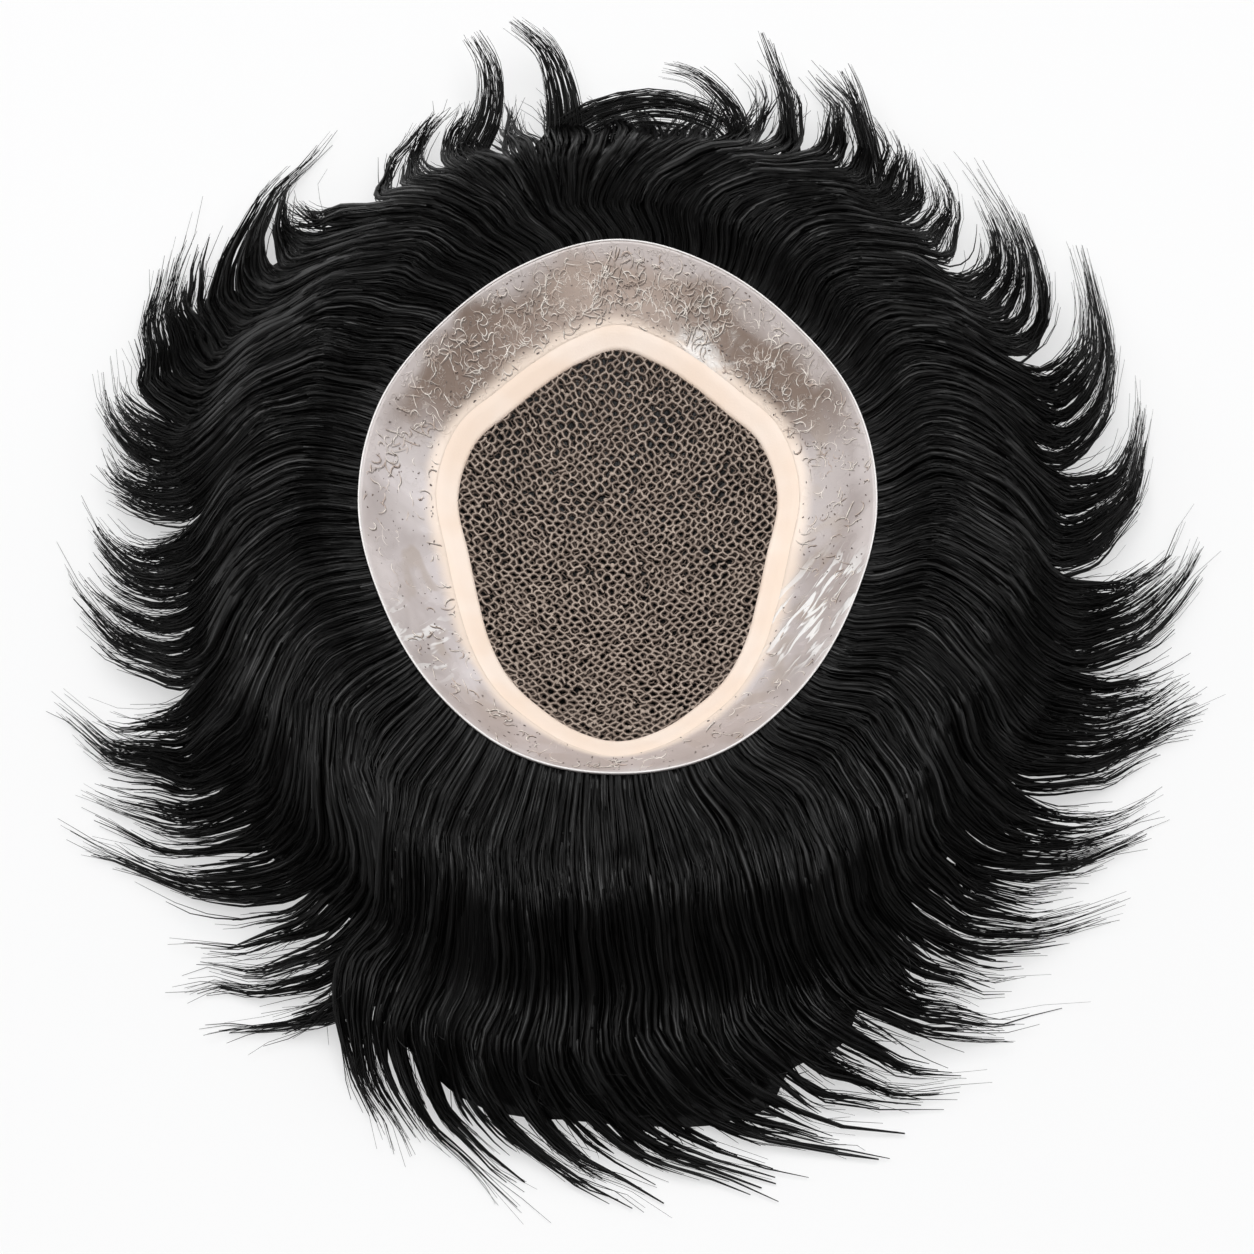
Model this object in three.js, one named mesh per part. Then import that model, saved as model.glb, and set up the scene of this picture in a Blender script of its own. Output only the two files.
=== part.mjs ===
// A toupee hairpiece, lying crown down on its own hair with the open base upwards.
// The base is a shallow bowl: a lace centre, a cream band round it and a clear skin out to the rim.
// The hair grows from under the whole base, comes out below the rim and fans out to a flat nest of
// curved locks. +Z is up, +X is to the right, and +Y is the end where the hair is shorter.
// Bearings are in degrees, clockwise from +Y as seen from above.
import * as THREE from "three";

// The base: its size across and along at the rim, how deep its bowl is, and how steep it ends.
const BASE_WIDTH = 184;
const BASE_LENGTH = 209;
const BASE_DEPTH = 40;
const BASE_ROUNDNESS = 0.85;
const RIM_SADDLE = 2;
const BASE_WALL = 1.2;

// The clear skin inside the rim, as seen from above: its width at each side and at either end.
const SKIN_AT_SIDE = 27.5;
const SKIN_AT_PLUS_Y = 24.5;
const SKIN_AT_MINUS_Y = 11.5;

// The band between the skin and the lace centre, and how proud of them it stands.
const BAND_WIDTH = 7.5;
const BAND_RISE = 0.5;

// The hair: how thick a bed the bowl presses under it, and how far the hair reaches past the rim.
const HAIR_UNDER_BOWL = 12;
const HAIR_REACH = 120;

// The body of the hair parts into locks at this share of the reach, and has a ridge for each lock.
const BODY_SHARE = 0.58;
const RIDGE_HEIGHT = 3;
const LOCK_COUNT = 36;
const LOCK_TIP_HEIGHT = 3;
const LOCK_TIP_SHARE = 0.06;
const LOCK_TAPER = 0.7;

// A hair leans one way as it leaves the rim, falls towards -Y, then flicks back at its tip. These
// are shares of its own reach.
const LEAN_END = 0.13;
const FALL_START = 0.27;
const FALL_END = 0.52;
const FLICK_START = 0.52;

// Room between two pieces that touch.
const PIECE_GAP = 0.3;

// How the meshes are stepped.
const STATIONS = 2 * LOCK_COUNT;
const LACE_RINGS = 4;
const SKIN_RINGS = 3;
const BODY_RINGS = 6;
const LOCK_SPANS = 6;

// The rim's outline, from +Y round to -Y: its share of the plain oval at evenly stepped turns.
const RIM_OUTLINE = [
  { turn: 0, reach: 1.0 },
  { turn: 22.5, reach: 0.975 },
  { turn: 45, reach: 0.965 },
  { turn: 67.5, reach: 0.993 },
  { turn: 90, reach: 0.988 },
  { turn: 112.5, reach: 0.961 },
  { turn: 135, reach: 0.972 },
  { turn: 157.5, reach: 0.999 },
  { turn: 180, reach: 1.0 },
];

// The lace's outline in the same way, with its two shoulders near turn 65.
const LACE_OUTLINE = [
  { turn: 0, reach: 1.0 },
  { turn: 15, reach: 0.97 },
  { turn: 30, reach: 0.955 },
  { turn: 45, reach: 0.975 },
  { turn: 60, reach: 1.045 },
  { turn: 75, reach: 1.035 },
  { turn: 90, reach: 0.93 },
  { turn: 105, reach: 0.895 },
  { turn: 120, reach: 0.91 },
  { turn: 135, reach: 0.93 },
  { turn: 150, reach: 0.935 },
  { turn: 165, reach: 0.97 },
  { turn: 180, reach: 1.0 },
];

// How the hair lies, for roots at even bearings round the rim: its share of the reach past the
// rim, and by how many degrees it leans, falls and flicks, clockwise being positive.
const HAIR_FLOW = [
  { root: 0, reach: 0.86, lean: -4, fall: 6, flick: -4 },
  { root: 15, reach: 1.04, lean: -3, fall: 17, flick: -10 },
  { root: 30, reach: 1.05, lean: -2, fall: 12, flick: -15 },
  { root: 45, reach: 1.0, lean: -4, fall: 14, flick: -18 },
  { root: 60, reach: 1.05, lean: -4, fall: 13, flick: -20 },
  { root: 75, reach: 1.0, lean: -4, fall: 13, flick: -20 },
  { root: 90, reach: 0.96, lean: -5, fall: 10, flick: -19 },
  { root: 105, reach: 0.99, lean: -7, fall: 8, flick: -14 },
  { root: 120, reach: 0.96, lean: -7, fall: 7, flick: -12 },
  { root: 135, reach: 0.95, lean: -7, fall: 6, flick: -12 },
  { root: 150, reach: 1.0, lean: -7, fall: 4, flick: -12 },
  { root: 165, reach: 1.07, lean: -4, fall: 1, flick: -14 },
  { root: 180, reach: 1.07, lean: -1, fall: -2, flick: -14 },
  { root: 195, reach: 1.1, lean: 0, fall: -7, flick: -13 },
  { root: 210, reach: 1.12, lean: 1, fall: -12, flick: -9 },
  { root: 225, reach: 0.98, lean: 1, fall: -14, flick: 10 },
  { root: 240, reach: 0.96, lean: 2, fall: -11, flick: 12 },
  { root: 255, reach: 0.96, lean: 1, fall: -13, flick: 10 },
  { root: 270, reach: 0.9, lean: 1, fall: -12, flick: 11 },
  { root: 285, reach: 0.91, lean: 0, fall: -14, flick: 9 },
  { root: 300, reach: 0.96, lean: -3, fall: -17, flick: 11 },
  { root: 315, reach: 0.97, lean: -6, fall: -20, flick: 15 },
  { root: 330, reach: 0.94, lean: -5, fall: -20, flick: 19 },
  { root: 345, reach: 0.95, lean: -5, fall: -9, flick: 9 },
];

// How high the hair stands past the rim, as shares of its reach and of the rim's height.
const HAIR_PROFILE = [
  { out: 0, height: 0.955 },
  { out: 0.12, height: 0.955 },
  { out: 0.26, height: 0.9 },
  { out: 0.42, height: 0.76 },
  { out: 0.58, height: 0.56 },
  { out: 0.75, height: 0.33 },
  { out: 0.9, height: 0.13 },
  { out: 1, height: LOCK_TIP_SHARE },
];

// A lock's section: shares of its half width and of its height.
const LOCK_SECTION = [
  { across: 0, up: 0 },
  { across: 1, up: 0 },
  { across: 0.94, up: 0.62 },
  { across: 0.5, up: 0.95 },
  { across: 0, up: 1 },
  { across: -0.5, up: 0.95 },
  { across: -0.94, up: 0.62 },
  { across: -1, up: 0 },
];

const LACE_WIDTH = BASE_WIDTH - 2 * (SKIN_AT_SIDE + BAND_WIDTH);
const LACE_LENGTH = BASE_LENGTH - SKIN_AT_PLUS_Y - SKIN_AT_MINUS_Y - 2 * BAND_WIDTH;
const LACE_SHIFT = (SKIN_AT_MINUS_Y - SKIN_AT_PLUS_Y) / 2;
const RIM_HEIGHT = HAIR_UNDER_BOWL + BASE_WALL + BASE_DEPTH;
const FULL_TURN = 360;
const LOCK_ANGLE = FULL_TURN / LOCK_COUNT;

const MATERIALS = {
  lace: new THREE.MeshStandardMaterial({ color: 0x6f6156, roughness: 0.75, metalness: 0 }),
  band: new THREE.MeshStandardMaterial({ color: 0xeed8c6, roughness: 0.5, metalness: 0 }),
  skin: new THREE.MeshStandardMaterial({ color: 0xb9aca8, roughness: 0.25, metalness: 0 }),
  hair: new THREE.MeshStandardMaterial({ color: 0x0b0b0c, roughness: 0.4, metalness: 0 }),
};

const { degToRad, euclideanModulo, lerp, radToDeg, smoothstep } = THREE.MathUtils;

// The value of a smooth curve through even samples, at a place counted in samples.
function throughSamples(sample, place) {
  const before = Math.floor(place);
  const [a, b, c, d] = [-1, 0, 1, 2].map((step) => sample(before + step));
  const t = place - before;
  const bend = 2 * a - 5 * b + 4 * c - d;
  return b + 0.5 * t * (c - a + t * (bend + t * (3 * (b - c) + d - a)));
}

// The share of the plain oval that an outline reaches at a turn; left and right are alike.
function outlineShare(outline, turn) {
  const last = outline.length - 1;
  const half = outline[last].turn;
  const folded = half - Math.abs(half - euclideanModulo(turn, FULL_TURN));
  const sample = (i) => outline[last - Math.abs(last - Math.abs(i))].reach;
  return throughSamples(sample, folded / outline[1].turn);
}

// The radius from the base's centre to an oval outline, along a bearing.
function outlineRadius(outline, halfWidth, halfLength, shift, bearing) {
  const angle = degToRad(bearing);
  let radius = halfWidth;
  for (let pass = 0; pass < 30; pass++) {
    const across = (radius * Math.sin(angle)) / halfWidth;
    const along = (radius * Math.cos(angle) - shift) / halfLength;
    const turn = radToDeg(Math.atan2(across, along));
    radius *= outlineShare(outline, turn) / Math.hypot(across, along);
  }
  return radius;
}

const rimRadius = (bearing) =>
  outlineRadius(RIM_OUTLINE, BASE_WIDTH / 2, BASE_LENGTH / 2, 0, bearing);
const laceRadius = (bearing) =>
  outlineRadius(LACE_OUTLINE, LACE_WIDTH / 2, LACE_LENGTH / 2, LACE_SHIFT, bearing);
const bandRadius = (bearing) => laceRadius(bearing) + BAND_WIDTH;

// The bowl's depth curve, from 0 at the crown to 1 at the rim, and its rise for each share of radius.
const crownCurve = (share) => 1 - Math.sqrt(1 - (BASE_ROUNDNESS * share) ** 2);
const bowlRise = (share) => crownCurve(share) / crownCurve(1);
const bowlSlope = (share) =>
  (BASE_ROUNDNESS ** 2 * share) / Math.sqrt(1 - (BASE_ROUNDNESS * share) ** 2) / crownCurve(1);

// The height of the base's inner face at a bearing and radius.
function baseHeight(bearing, radius) {
  const share = radius / rimRadius(bearing);
  const saddle = RIM_SADDLE * Math.cos(2 * degToRad(bearing)) * share ** 2;
  return HAIR_UNDER_BOWL + BASE_WALL + BASE_DEPTH * bowlRise(share) + saddle;
}

// How far straight down a wall of a given thickness reaches on the bowl's slope.
function dropThrough(wall, bearing, radius) {
  const rim = rimRadius(bearing);
  return wall * Math.hypot(1, (BASE_DEPTH / rim) * bowlSlope(radius / rim));
}

// A column of the flow table at any root bearing.
function flowAt(root, column) {
  const sample = (i) => HAIR_FLOW[euclideanModulo(i, HAIR_FLOW.length)][column];
  return throughSamples(sample, root / HAIR_FLOW[1].root);
}

const hairReach = (root) => HAIR_REACH * flowAt(root, "reach");

// Where a hair from a root bearing lies, seen from above, a share of the way from rim to tip.
function hairPlan(root, out) {
  const flicked = Math.max(0, (out - FLICK_START) / (1 - FLICK_START));
  const bearing =
    root +
    flowAt(root, "lean") * smoothstep(out, 0, LEAN_END) +
    flowAt(root, "fall") * smoothstep(out, FALL_START, FALL_END) +
    flowAt(root, "flick") * flicked ** 2;
  return { bearing, radius: rimRadius(root) + out * hairReach(root) };
}

// The height of the hair's upper side at a share of the way from rim to tip.
function hairHeight(out) {
  const next = Math.max(1, HAIR_PROFILE.findIndex((row) => row.out >= out));
  const [from, to] = [HAIR_PROFILE[next - 1], HAIR_PROFILE[next]];
  const share = (out - from.out) / (to.out - from.out);
  return RIM_HEIGHT * lerp(from.height, to.height, share);
}

// A point at a bearing, radius and height.
function pointAt(bearing, radius, height) {
  const angle = degToRad(bearing);
  return new THREE.Vector3(radius * Math.sin(angle), radius * Math.cos(angle), height);
}

// A closed mesh through closed sections of equal count, each four-sided face split along its
// shorter diagonal. Round ones meet end to start, and the others get a flat face at each end.
// Points that coincide become one, as at a bowl's crown.
function loft(sections, round) {
  const positions = [];
  const faces = [];
  const known = new Map();
  const corner = (point) => {
    const key = point.toArray().map((value) => value.toFixed(4)).join();
    if (!known.has(key)) {
      known.set(key, positions.length / 3);
      positions.push(...point.toArray());
    }
    return known.get(key);
  };
  const face = (...points) => {
    const corners = points.map(corner);
    if (new Set(corners).size === 3) faces.push(...corners);
  };
  const spans = round ? sections.length : sections.length - 1;
  for (let i = 0; i < spans; i++) {
    const [near, far] = [sections[i], sections[(i + 1) % sections.length]];
    near.forEach((a, j) => {
      const k = (j + 1) % near.length;
      const [b, c, d] = [near[k], far[k], far[j]];
      if (a.distanceTo(c) < b.distanceTo(d)) {
        face(a, d, c);
        face(a, c, b);
      } else {
        face(a, d, b);
        face(b, d, c);
      }
    });
  }
  if (!round) {
    const [start, end] = [sections[0], sections[sections.length - 1]];
    for (let j = 1; j < start.length - 1; j++) {
      face(start[0], start[j], start[j + 1]);
      face(end[0], end[j + 1], end[j]);
    }
  }
  const geometry = new THREE.BufferGeometry();
  geometry.setAttribute("position", new THREE.Float32BufferAttribute(positions, 3));
  geometry.setIndex(faces);
  geometry.computeVertexNormals();
  return geometry;
}

function namedMesh(name, geometry, material) {
  const mesh = new THREE.Mesh(geometry, material);
  mesh.name = name;
  return mesh;
}

const stationBearings = Array.from({ length: STATIONS }, (_, i) => (i * FULL_TURN) / STATIONS);
const evenSteps = (from, to, spans) =>
  Array.from({ length: spans + 1 }, (_, i) => lerp(from, to, i / spans));

// The radii of the rings at a bearing that the base's walls and the hair below them share.
const laceRings = (bearing) => evenSteps(0, laceRadius(bearing) - PIECE_GAP / 2, LACE_RINGS);
const bandRings = (bearing) => [
  laceRadius(bearing) + PIECE_GAP / 2,
  bandRadius(bearing) - PIECE_GAP / 2,
];
const skinRings = (bearing) =>
  evenSteps(bandRadius(bearing) + PIECE_GAP / 2, rimRadius(bearing), SKIN_RINGS);

// A wall of the base between the first and last of its rings, standing proud by a rise.
function baseWall(ringsAt, rise) {
  const sections = stationBearings.map((bearing) => {
    const radii = ringsAt(bearing);
    const inner = radii.map((radius) =>
      pointAt(bearing, radius, baseHeight(bearing, radius) + rise),
    );
    const outer = radii.map((radius) => {
      const drop = dropThrough(BASE_WALL, bearing, radius);
      return pointAt(bearing, radius, baseHeight(bearing, radius) - drop);
    });
    return [...inner, ...outer.reverse()];
  });
  return loft(sections, true);
}

// The body of hair: it backs the whole base, rises past the rim and ends where the locks part.
function hairBody() {
  const sections = stationBearings.map((root, station) => {
    const underBase = [...laceRings(root), ...bandRings(root), ...skinRings(root)].map((radius) => {
      const drop = dropThrough(BASE_WALL + PIECE_GAP, root, radius);
      return pointAt(root, radius, baseHeight(root, radius) - drop);
    });
    const ridge = station % 2 === 0 ? 1 : 0;
    const pastRim = evenSteps(0, BODY_SHARE, BODY_RINGS)
      .slice(1)
      .map((out) => {
        const { bearing, radius } = hairPlan(root, out);
        const dip = (1 - ridge) * RIDGE_HEIGHT * (out / BODY_SHARE);
        return pointAt(bearing, radius, hairHeight(out) - dip);
      });
    const edge = pastRim[pastRim.length - 1];
    const foot = new THREE.Vector3(edge.x, edge.y, 0);
    return [...underBase, ...pastRim, foot, new THREE.Vector3()];
  });
  return loft(sections, true);
}

// One lock: it starts face to face with the body and narrows along the flow to a thin tip.
function lock(index) {
  const middle = index * LOCK_ANGLE;
  const start = BODY_SHARE + PIECE_GAP / hairReach(middle);
  const sections = evenSteps(0, 1, LOCK_SPANS).map((along) => {
    const out = lerp(start, 1, along);
    const sideGap = radToDeg(PIECE_GAP / hairPlan(middle, out).radius);
    const tipShare = LOCK_TIP_SHARE * along;
    const half = (LOCK_ANGLE / 2 - sideGap) * ((1 - along) ** LOCK_TAPER + tipShare);
    const height = Math.max(LOCK_TIP_HEIGHT, hairHeight(out));
    return LOCK_SECTION.map(({ across, up }) => {
      const { bearing, radius } = hairPlan(middle + across * half, out);
      return pointAt(bearing, radius, up * height);
    });
  });
  return loft(sections, false);
}

const hairpiece = new THREE.Group();
hairpiece.add(
  namedMesh("lace_centre", baseWall(laceRings, 0), MATERIALS.lace),
  namedMesh("edge_band", baseWall(bandRings, BAND_RISE), MATERIALS.band),
  namedMesh("skin_perimeter", baseWall(skinRings, 0), MATERIALS.skin),
  namedMesh("hair_body", hairBody(), MATERIALS.hair),
);
for (let index = 0; index < LOCK_COUNT; index++) {
  const name = `lock_${String(index + 1).padStart(2, "0")}`;
  hairpiece.add(namedMesh(name, lock(index), MATERIALS.hair));
}

// The origin goes to the middle of the whole piece's outline, on the surface that it lies on.
const outline = new THREE.Box3().setFromObject(hairpiece, true);
const middle = outline.getCenter(new THREE.Vector3());
hairpiece.position.set(-middle.x, -middle.y, -outline.min.z);

export default hairpiece;
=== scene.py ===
"""Looks of a toupee hairpiece that lies crown down on its own hair, its base open upwards.

The base is a shallow bowl: a knotted net in the middle, a cream band round it and a clear film out
to the rim. Hair grows from under all of it, comes out below the rim, falls in waves and ends in
curved flames. Lengths are in millimetres from the rim's centre until a mesh is made, and bearings
are in degrees, clockwise from +Y as seen from above.
"""

import math

import bmesh
import bpy
import numpy as np
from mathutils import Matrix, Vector
from mathutils.geometry import delaunay_2d_cdt


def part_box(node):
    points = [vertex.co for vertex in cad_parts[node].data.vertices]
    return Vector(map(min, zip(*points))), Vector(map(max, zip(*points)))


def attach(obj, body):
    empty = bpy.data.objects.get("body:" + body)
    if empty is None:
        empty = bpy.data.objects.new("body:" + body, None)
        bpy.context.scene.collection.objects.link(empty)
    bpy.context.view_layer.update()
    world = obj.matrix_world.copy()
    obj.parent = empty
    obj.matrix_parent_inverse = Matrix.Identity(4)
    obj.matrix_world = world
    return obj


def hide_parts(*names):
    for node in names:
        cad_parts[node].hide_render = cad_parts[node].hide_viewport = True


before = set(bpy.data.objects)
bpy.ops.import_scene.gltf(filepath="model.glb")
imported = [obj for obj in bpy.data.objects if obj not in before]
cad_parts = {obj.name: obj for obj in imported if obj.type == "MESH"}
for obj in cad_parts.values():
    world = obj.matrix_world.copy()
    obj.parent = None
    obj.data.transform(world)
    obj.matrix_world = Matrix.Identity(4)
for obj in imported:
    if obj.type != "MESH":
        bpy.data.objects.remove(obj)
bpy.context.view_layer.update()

# The base, as the frame has it: its rim, the bowl's depth, and the skin and band inside the rim.
BASE_WIDTH = 184.0
BASE_LENGTH = 209.0
BASE_DEPTH = 40.0
BASE_ROUNDNESS = 0.85
RIM_SADDLE = 2.0
BASE_WALL = 1.2
SKIN_AT_SIDE = 27.5
SKIN_AT_PLUS_Y = 24.5
SKIN_AT_MINUS_Y = 11.5
BAND_WIDTH = 7.5
BAND_RISE = 0.5
HAIR_UNDER_BOWL = 12.0
PIECE_GAP = 0.3
RIM_HEIGHT = HAIR_UNDER_BOWL + BASE_WALL + BASE_DEPTH
RIM_SHARES = [1, 0.975, 0.965, 0.993, 0.988, 0.961, 0.972, 0.999, 1]
LACE_SHARES = [1, 0.97, 0.955, 0.975, 1.045, 1.035, 0.93, 0.895, 0.91, 0.93, 0.935, 0.97, 1]

# The hair's flow at every 15 degrees of root bearing, as the frame has it: reach, lean, fall, flick.
# Each turns a hair between the shares of its reach that are named below. A hair starts a little
# below the rim and inside it, and its height falls along the profile.
HAIR_REACH = 120.0
HAIR_FLOW = np.array([
    [0.86, -4, 6, -4], [1.04, -3, 17, -10], [1.05, -2, 12, -15], [1.0, -4, 14, -18],
    [1.05, -4, 13, -20], [1.0, -4, 13, -20], [0.96, -5, 10, -19], [0.99, -7, 8, -14],
    [0.96, -7, 7, -12], [0.95, -7, 6, -12], [1.0, -7, 4, -12], [1.07, -4, 1, -14],
    [1.07, -1, -2, -14], [1.1, 0, -7, -13], [1.12, 1, -12, -9], [0.98, 1, -14, 10],
    [0.96, 2, -11, 12], [0.96, 1, -13, 10], [0.9, 1, -12, 11], [0.91, 0, -14, 9],
    [0.96, -3, -17, 11], [0.97, -6, -20, 15], [0.94, -5, -20, 19], [0.95, -5, -9, 9],
])
REACH, LEAN, FALL, FLICK = range(4)
FLOW_STEP = 360 / len(HAIR_FLOW)
LEAN_END = 0.2
FALL_START, FALL_END = 0.18, 0.6
FLICK_START = 0.5
FLICK_GAIN = 1.1
FLICK_POWER = 2.1
START_DROP = 1.9
START_INSIDE = 0.2
START_END = 0.05
RISE_END = 0.11
PROFILE_OUT = [0, 0.12, 0.26, 0.42, 0.58, 0.75, 0.9, 1]
PROFILE_HEIGHT = [0.955, 0.955, 0.9, 0.76, 0.56, 0.33, 0.13, 0.06]

# The waves that the hair lies in: how high they stand, how long they are and where the first is.
# They grow to their full height by the place where the swell ends, and sink with the hair below
# the full wave's height.
WAVE_HEIGHT = 3.0
WAVE_LENGTH = 56.0
WAVE_CREST = 46.0
SWELL_START, SWELL_END = -10.0, 40.0
FULL_WAVE_ABOVE = 24.0
FLOOR_CLEARANCE = 0.4

# The front's hair swings back to the left before its last flick, which comes later there.
SWING, SWING_ROOT, SWING_SPREAD = 6.5, 212.0, 20.0
SWING_START, SWING_END = 34.0, 92.0
LATE_FLICK, LATE_ROOT, LATE_SPREAD = 0.14, 196.0, 24.0

# At this root bearing the flicks part: hair before it flicks one way and hair after it the other.
# Near it, each side's hair takes the flick of roots that are some degrees farther off.
FLICK_PARTING = 219.0
PARTING_WIDTH = 8.0
TAKEN_BEFORE, TAKEN_AFTER = -7.0, 2.5

# Small waves and lumps that neighbouring hairs share: their heights and lengths.
CRIMP, CRIMP_LENGTH = 1.1, 15.0
LUMP, LUMP_LENGTH = 0.8, 13.0

# Where the hair's flicks are more or less than those of the frame's locks: gain, root, spread.
BENDS = [(0.4, 254.0, 38.0), (0.1, 180.0, 24.0), (0.25, 147.0, 14.0), (0.15, 322.0, 14.0)]

# Past the parting, the hair falls more.
DROOP, DROOP_ROOT, DROOP_SPREAD = -5.0, 226.0, 13.0

# Locks lie between these root bearings, and flames in them. Ridges stand up along the flames.
LOCK_EDGES = np.array([
    2, 20, 38, 56, 72, 91, 108, 126, 139, 150, 161, 171, 181, 191, 201, 210, 219, 231, 245, 260,
    272, 285, 297, 309, 325, 342, 362])
FLAME_PITCH = 3.4
RIDGE_HEIGHT = 0.45

# How many random values go round the outline for the flames' widths, their lengths and the bed.
FLAME_TURNS, LENGTH_TURNS, BED_TURNS = 110, 90, 70

# Notches in the outline: the root bearing of each, and how many degrees the hair parts there.
NOTCHES = {
    56: 2.2, 72: 2.2, 91: 3.2, 126: 2.2, 219: 1.2, 260: 3.4, 285: 3.0, 309: 2.0, 342: 4.2}
NOTCH_WIDTH = 5.0

# At every 15 degrees of root bearing: where hair begins to part into flames, and where it ends.
LOOSE_FROM = [
    0.68, 0.55, 0.43, 0.48, 0.47, 0.52, 0.56, 0.64, 0.68, 0.67, 0.68, 0.79,
    0.89, 0.87, 0.78, 0.74, 0.69, 0.66, 0.55, 0.46, 0.51, 0.74, 0.78, 0.54]
TIP_SHARES = [
    0.96, 1.0, 0.82, 0.96, 1.0, 0.97, 0.97, 1.03, 1.06, 1.05, 1.0, 0.97,
    0.99, 1.01, 1.03, 1.08, 1.06, 0.98, 0.97, 0.92, 0.96, 1.02, 0.99, 0.88]
TABLE_STEP = 15

# Hairs draw together from a little before they part, over at least this share of the reach, by
# these shares of a flame's pitch and of a lock's width.
GATHER_EARLY = 0.06
GATHER_ROOM = 0.36
INTO_FLAME, INTO_LOCK = 0.9, 0.42

# The bed of close hair: how deep it lies, how far it ends before the loose hair begins, and how
# far its edge is tucked back under the hair.
BED_DEPTH = 2.4
BED_SHORT = 0.05
BED_PARTING, BED_PARTING_WIDTH = 0.12, 10.0
BED_TUCK = 14.0
BED_STATIONS, BED_UNDER_ROWS, BED_OUTER_ROWS = 400, 14, 24
BED_LINES = 2 * math.pi * 110.0 / 0.5
BED_TONE = 0.3

# Half the thickness of the threads, in millimetres, and half the width of a bead.
RIM_BEAD_SIZE = 0.34
SQUIGGLE_SIZE, DOT_SIZE = 0.23, 0.26
NET_SIZE, BACK_NET_SIZE, KNOT_SIZE = 0.76, 0.34, 0.75
HAIR_SIZE = 0.2

# The rim's centre in the frame, in metres, and the length of a millimetre.
SKIN_LOW, SKIN_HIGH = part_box("skin_perimeter")
RIM_CENTRE = np.array([(SKIN_LOW.x + SKIN_HIGH.x) / 2, (SKIN_LOW.y + SKIN_HIGH.y) / 2, 0.0])
MM = 0.001


# The base's outlines and bowl

def smooth_ring(samples, place):
    """The value of a smooth curve through a ring of even samples, at places counted in samples."""
    samples = np.asarray(samples, float)
    before = np.floor(place).astype(int)
    a, b, c, d = (samples[(before + step) % len(samples)] for step in (-1, 0, 1, 2))
    t = place - before
    bend = 2 * a - 5 * b + 4 * c - d
    return b + 0.5 * t * (c - a + t * (bend + t * (3 * (b - c) + d - a)))


def smooth_step(value, low, high):
    """A number that goes smoothly from nought to one between two values."""
    share = np.clip((value - low) / (high - low), 0, 1)
    return share * share * (3 - 2 * share)


FINE_BEARINGS = np.arange(0, 360, 0.5)


def outline(shares, half_width, half_length, shift):
    """The radius of an oval outline at the fine bearings; left and right are alike."""
    ring = shares + shares[-2:0:-1]
    angle = np.radians(FINE_BEARINGS)
    radius = np.full(len(angle), half_width)
    for _ in range(30):
        across = radius * np.sin(angle) / half_width
        along = (radius * np.cos(angle) - shift) / half_length
        turn = np.degrees(np.arctan2(across, along)) % 360
        radius = radius * smooth_ring(ring, turn * len(ring) / 360) / np.hypot(across, along)
    return radius


LACE_SHIFT = (SKIN_AT_MINUS_Y - SKIN_AT_PLUS_Y) / 2
RIM = outline(RIM_SHARES, BASE_WIDTH / 2, BASE_LENGTH / 2, 0)
LACE = outline(
    LACE_SHARES,
    BASE_WIDTH / 2 - SKIN_AT_SIDE - BAND_WIDTH,
    (BASE_LENGTH - SKIN_AT_PLUS_Y - SKIN_AT_MINUS_Y) / 2 - BAND_WIDTH,
    LACE_SHIFT,
)
BAND = LACE + BAND_WIDTH


def radius_of(radii, bearing):
    """The radius of an outline at any bearing."""
    return np.interp(bearing, FINE_BEARINGS, radii, period=360)


def crown_curve(share):
    """How high the bowl's round side has risen at a share of the way out to its rim."""
    return 1 - np.sqrt(1 - (BASE_ROUNDNESS * np.minimum(share, 1.02)) ** 2)


def base_height(bearing, radius):
    """The height of the base's inner face."""
    share = radius / radius_of(RIM, bearing)
    saddle = RIM_SADDLE * np.cos(2 * np.radians(bearing)) * share ** 2
    rise = crown_curve(share) / crown_curve(1)
    return HAIR_UNDER_BOWL + BASE_WALL + BASE_DEPTH * rise + saddle


def base_drop(wall, bearing, radius):
    """How far straight down a wall of a given thickness reaches on the bowl's slope."""
    step = 0.5
    slope = (base_height(bearing, radius) - base_height(bearing, radius - step)) / step
    return wall * np.hypot(1, slope)


def polar(bearing, radius, height):
    """Points at bearings, radii and heights."""
    angle = np.radians(bearing)
    bearing, radius, height = np.broadcast_arrays(bearing, radius, height)
    return np.stack([radius * np.sin(angle), radius * np.cos(angle), height], axis=-1)


def on_base(x, y, lift):
    """Points of the base's inner face above or below places seen from above."""
    bearing = np.degrees(np.arctan2(x, y)) % 360
    height = base_height(bearing, np.hypot(x, y)) + lift
    return np.stack([x, y, height], axis=-1)


def soft_noise(x, y, size, seed, waves=9):
    """A smooth random height from -1 to 1 whose bumps are about a size across."""
    rng = np.random.default_rng(seed)
    total = 0
    for _ in range(waves):
        turn, phase = rng.uniform(0, 2 * math.pi, 2)
        pitch = 2 * math.pi / (size * rng.uniform(1.2, 2.6))
        total = total + np.sin(pitch * (x * math.cos(turn) + y * math.sin(turn)) + phase)
    return total / math.sqrt(waves / 2) / 2


# The hair's flow

def flow(root, column):
    """One of the flow's columns at any root bearing."""
    return smooth_ring(HAIR_FLOW[:, column], root / FLOW_STEP)


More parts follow.
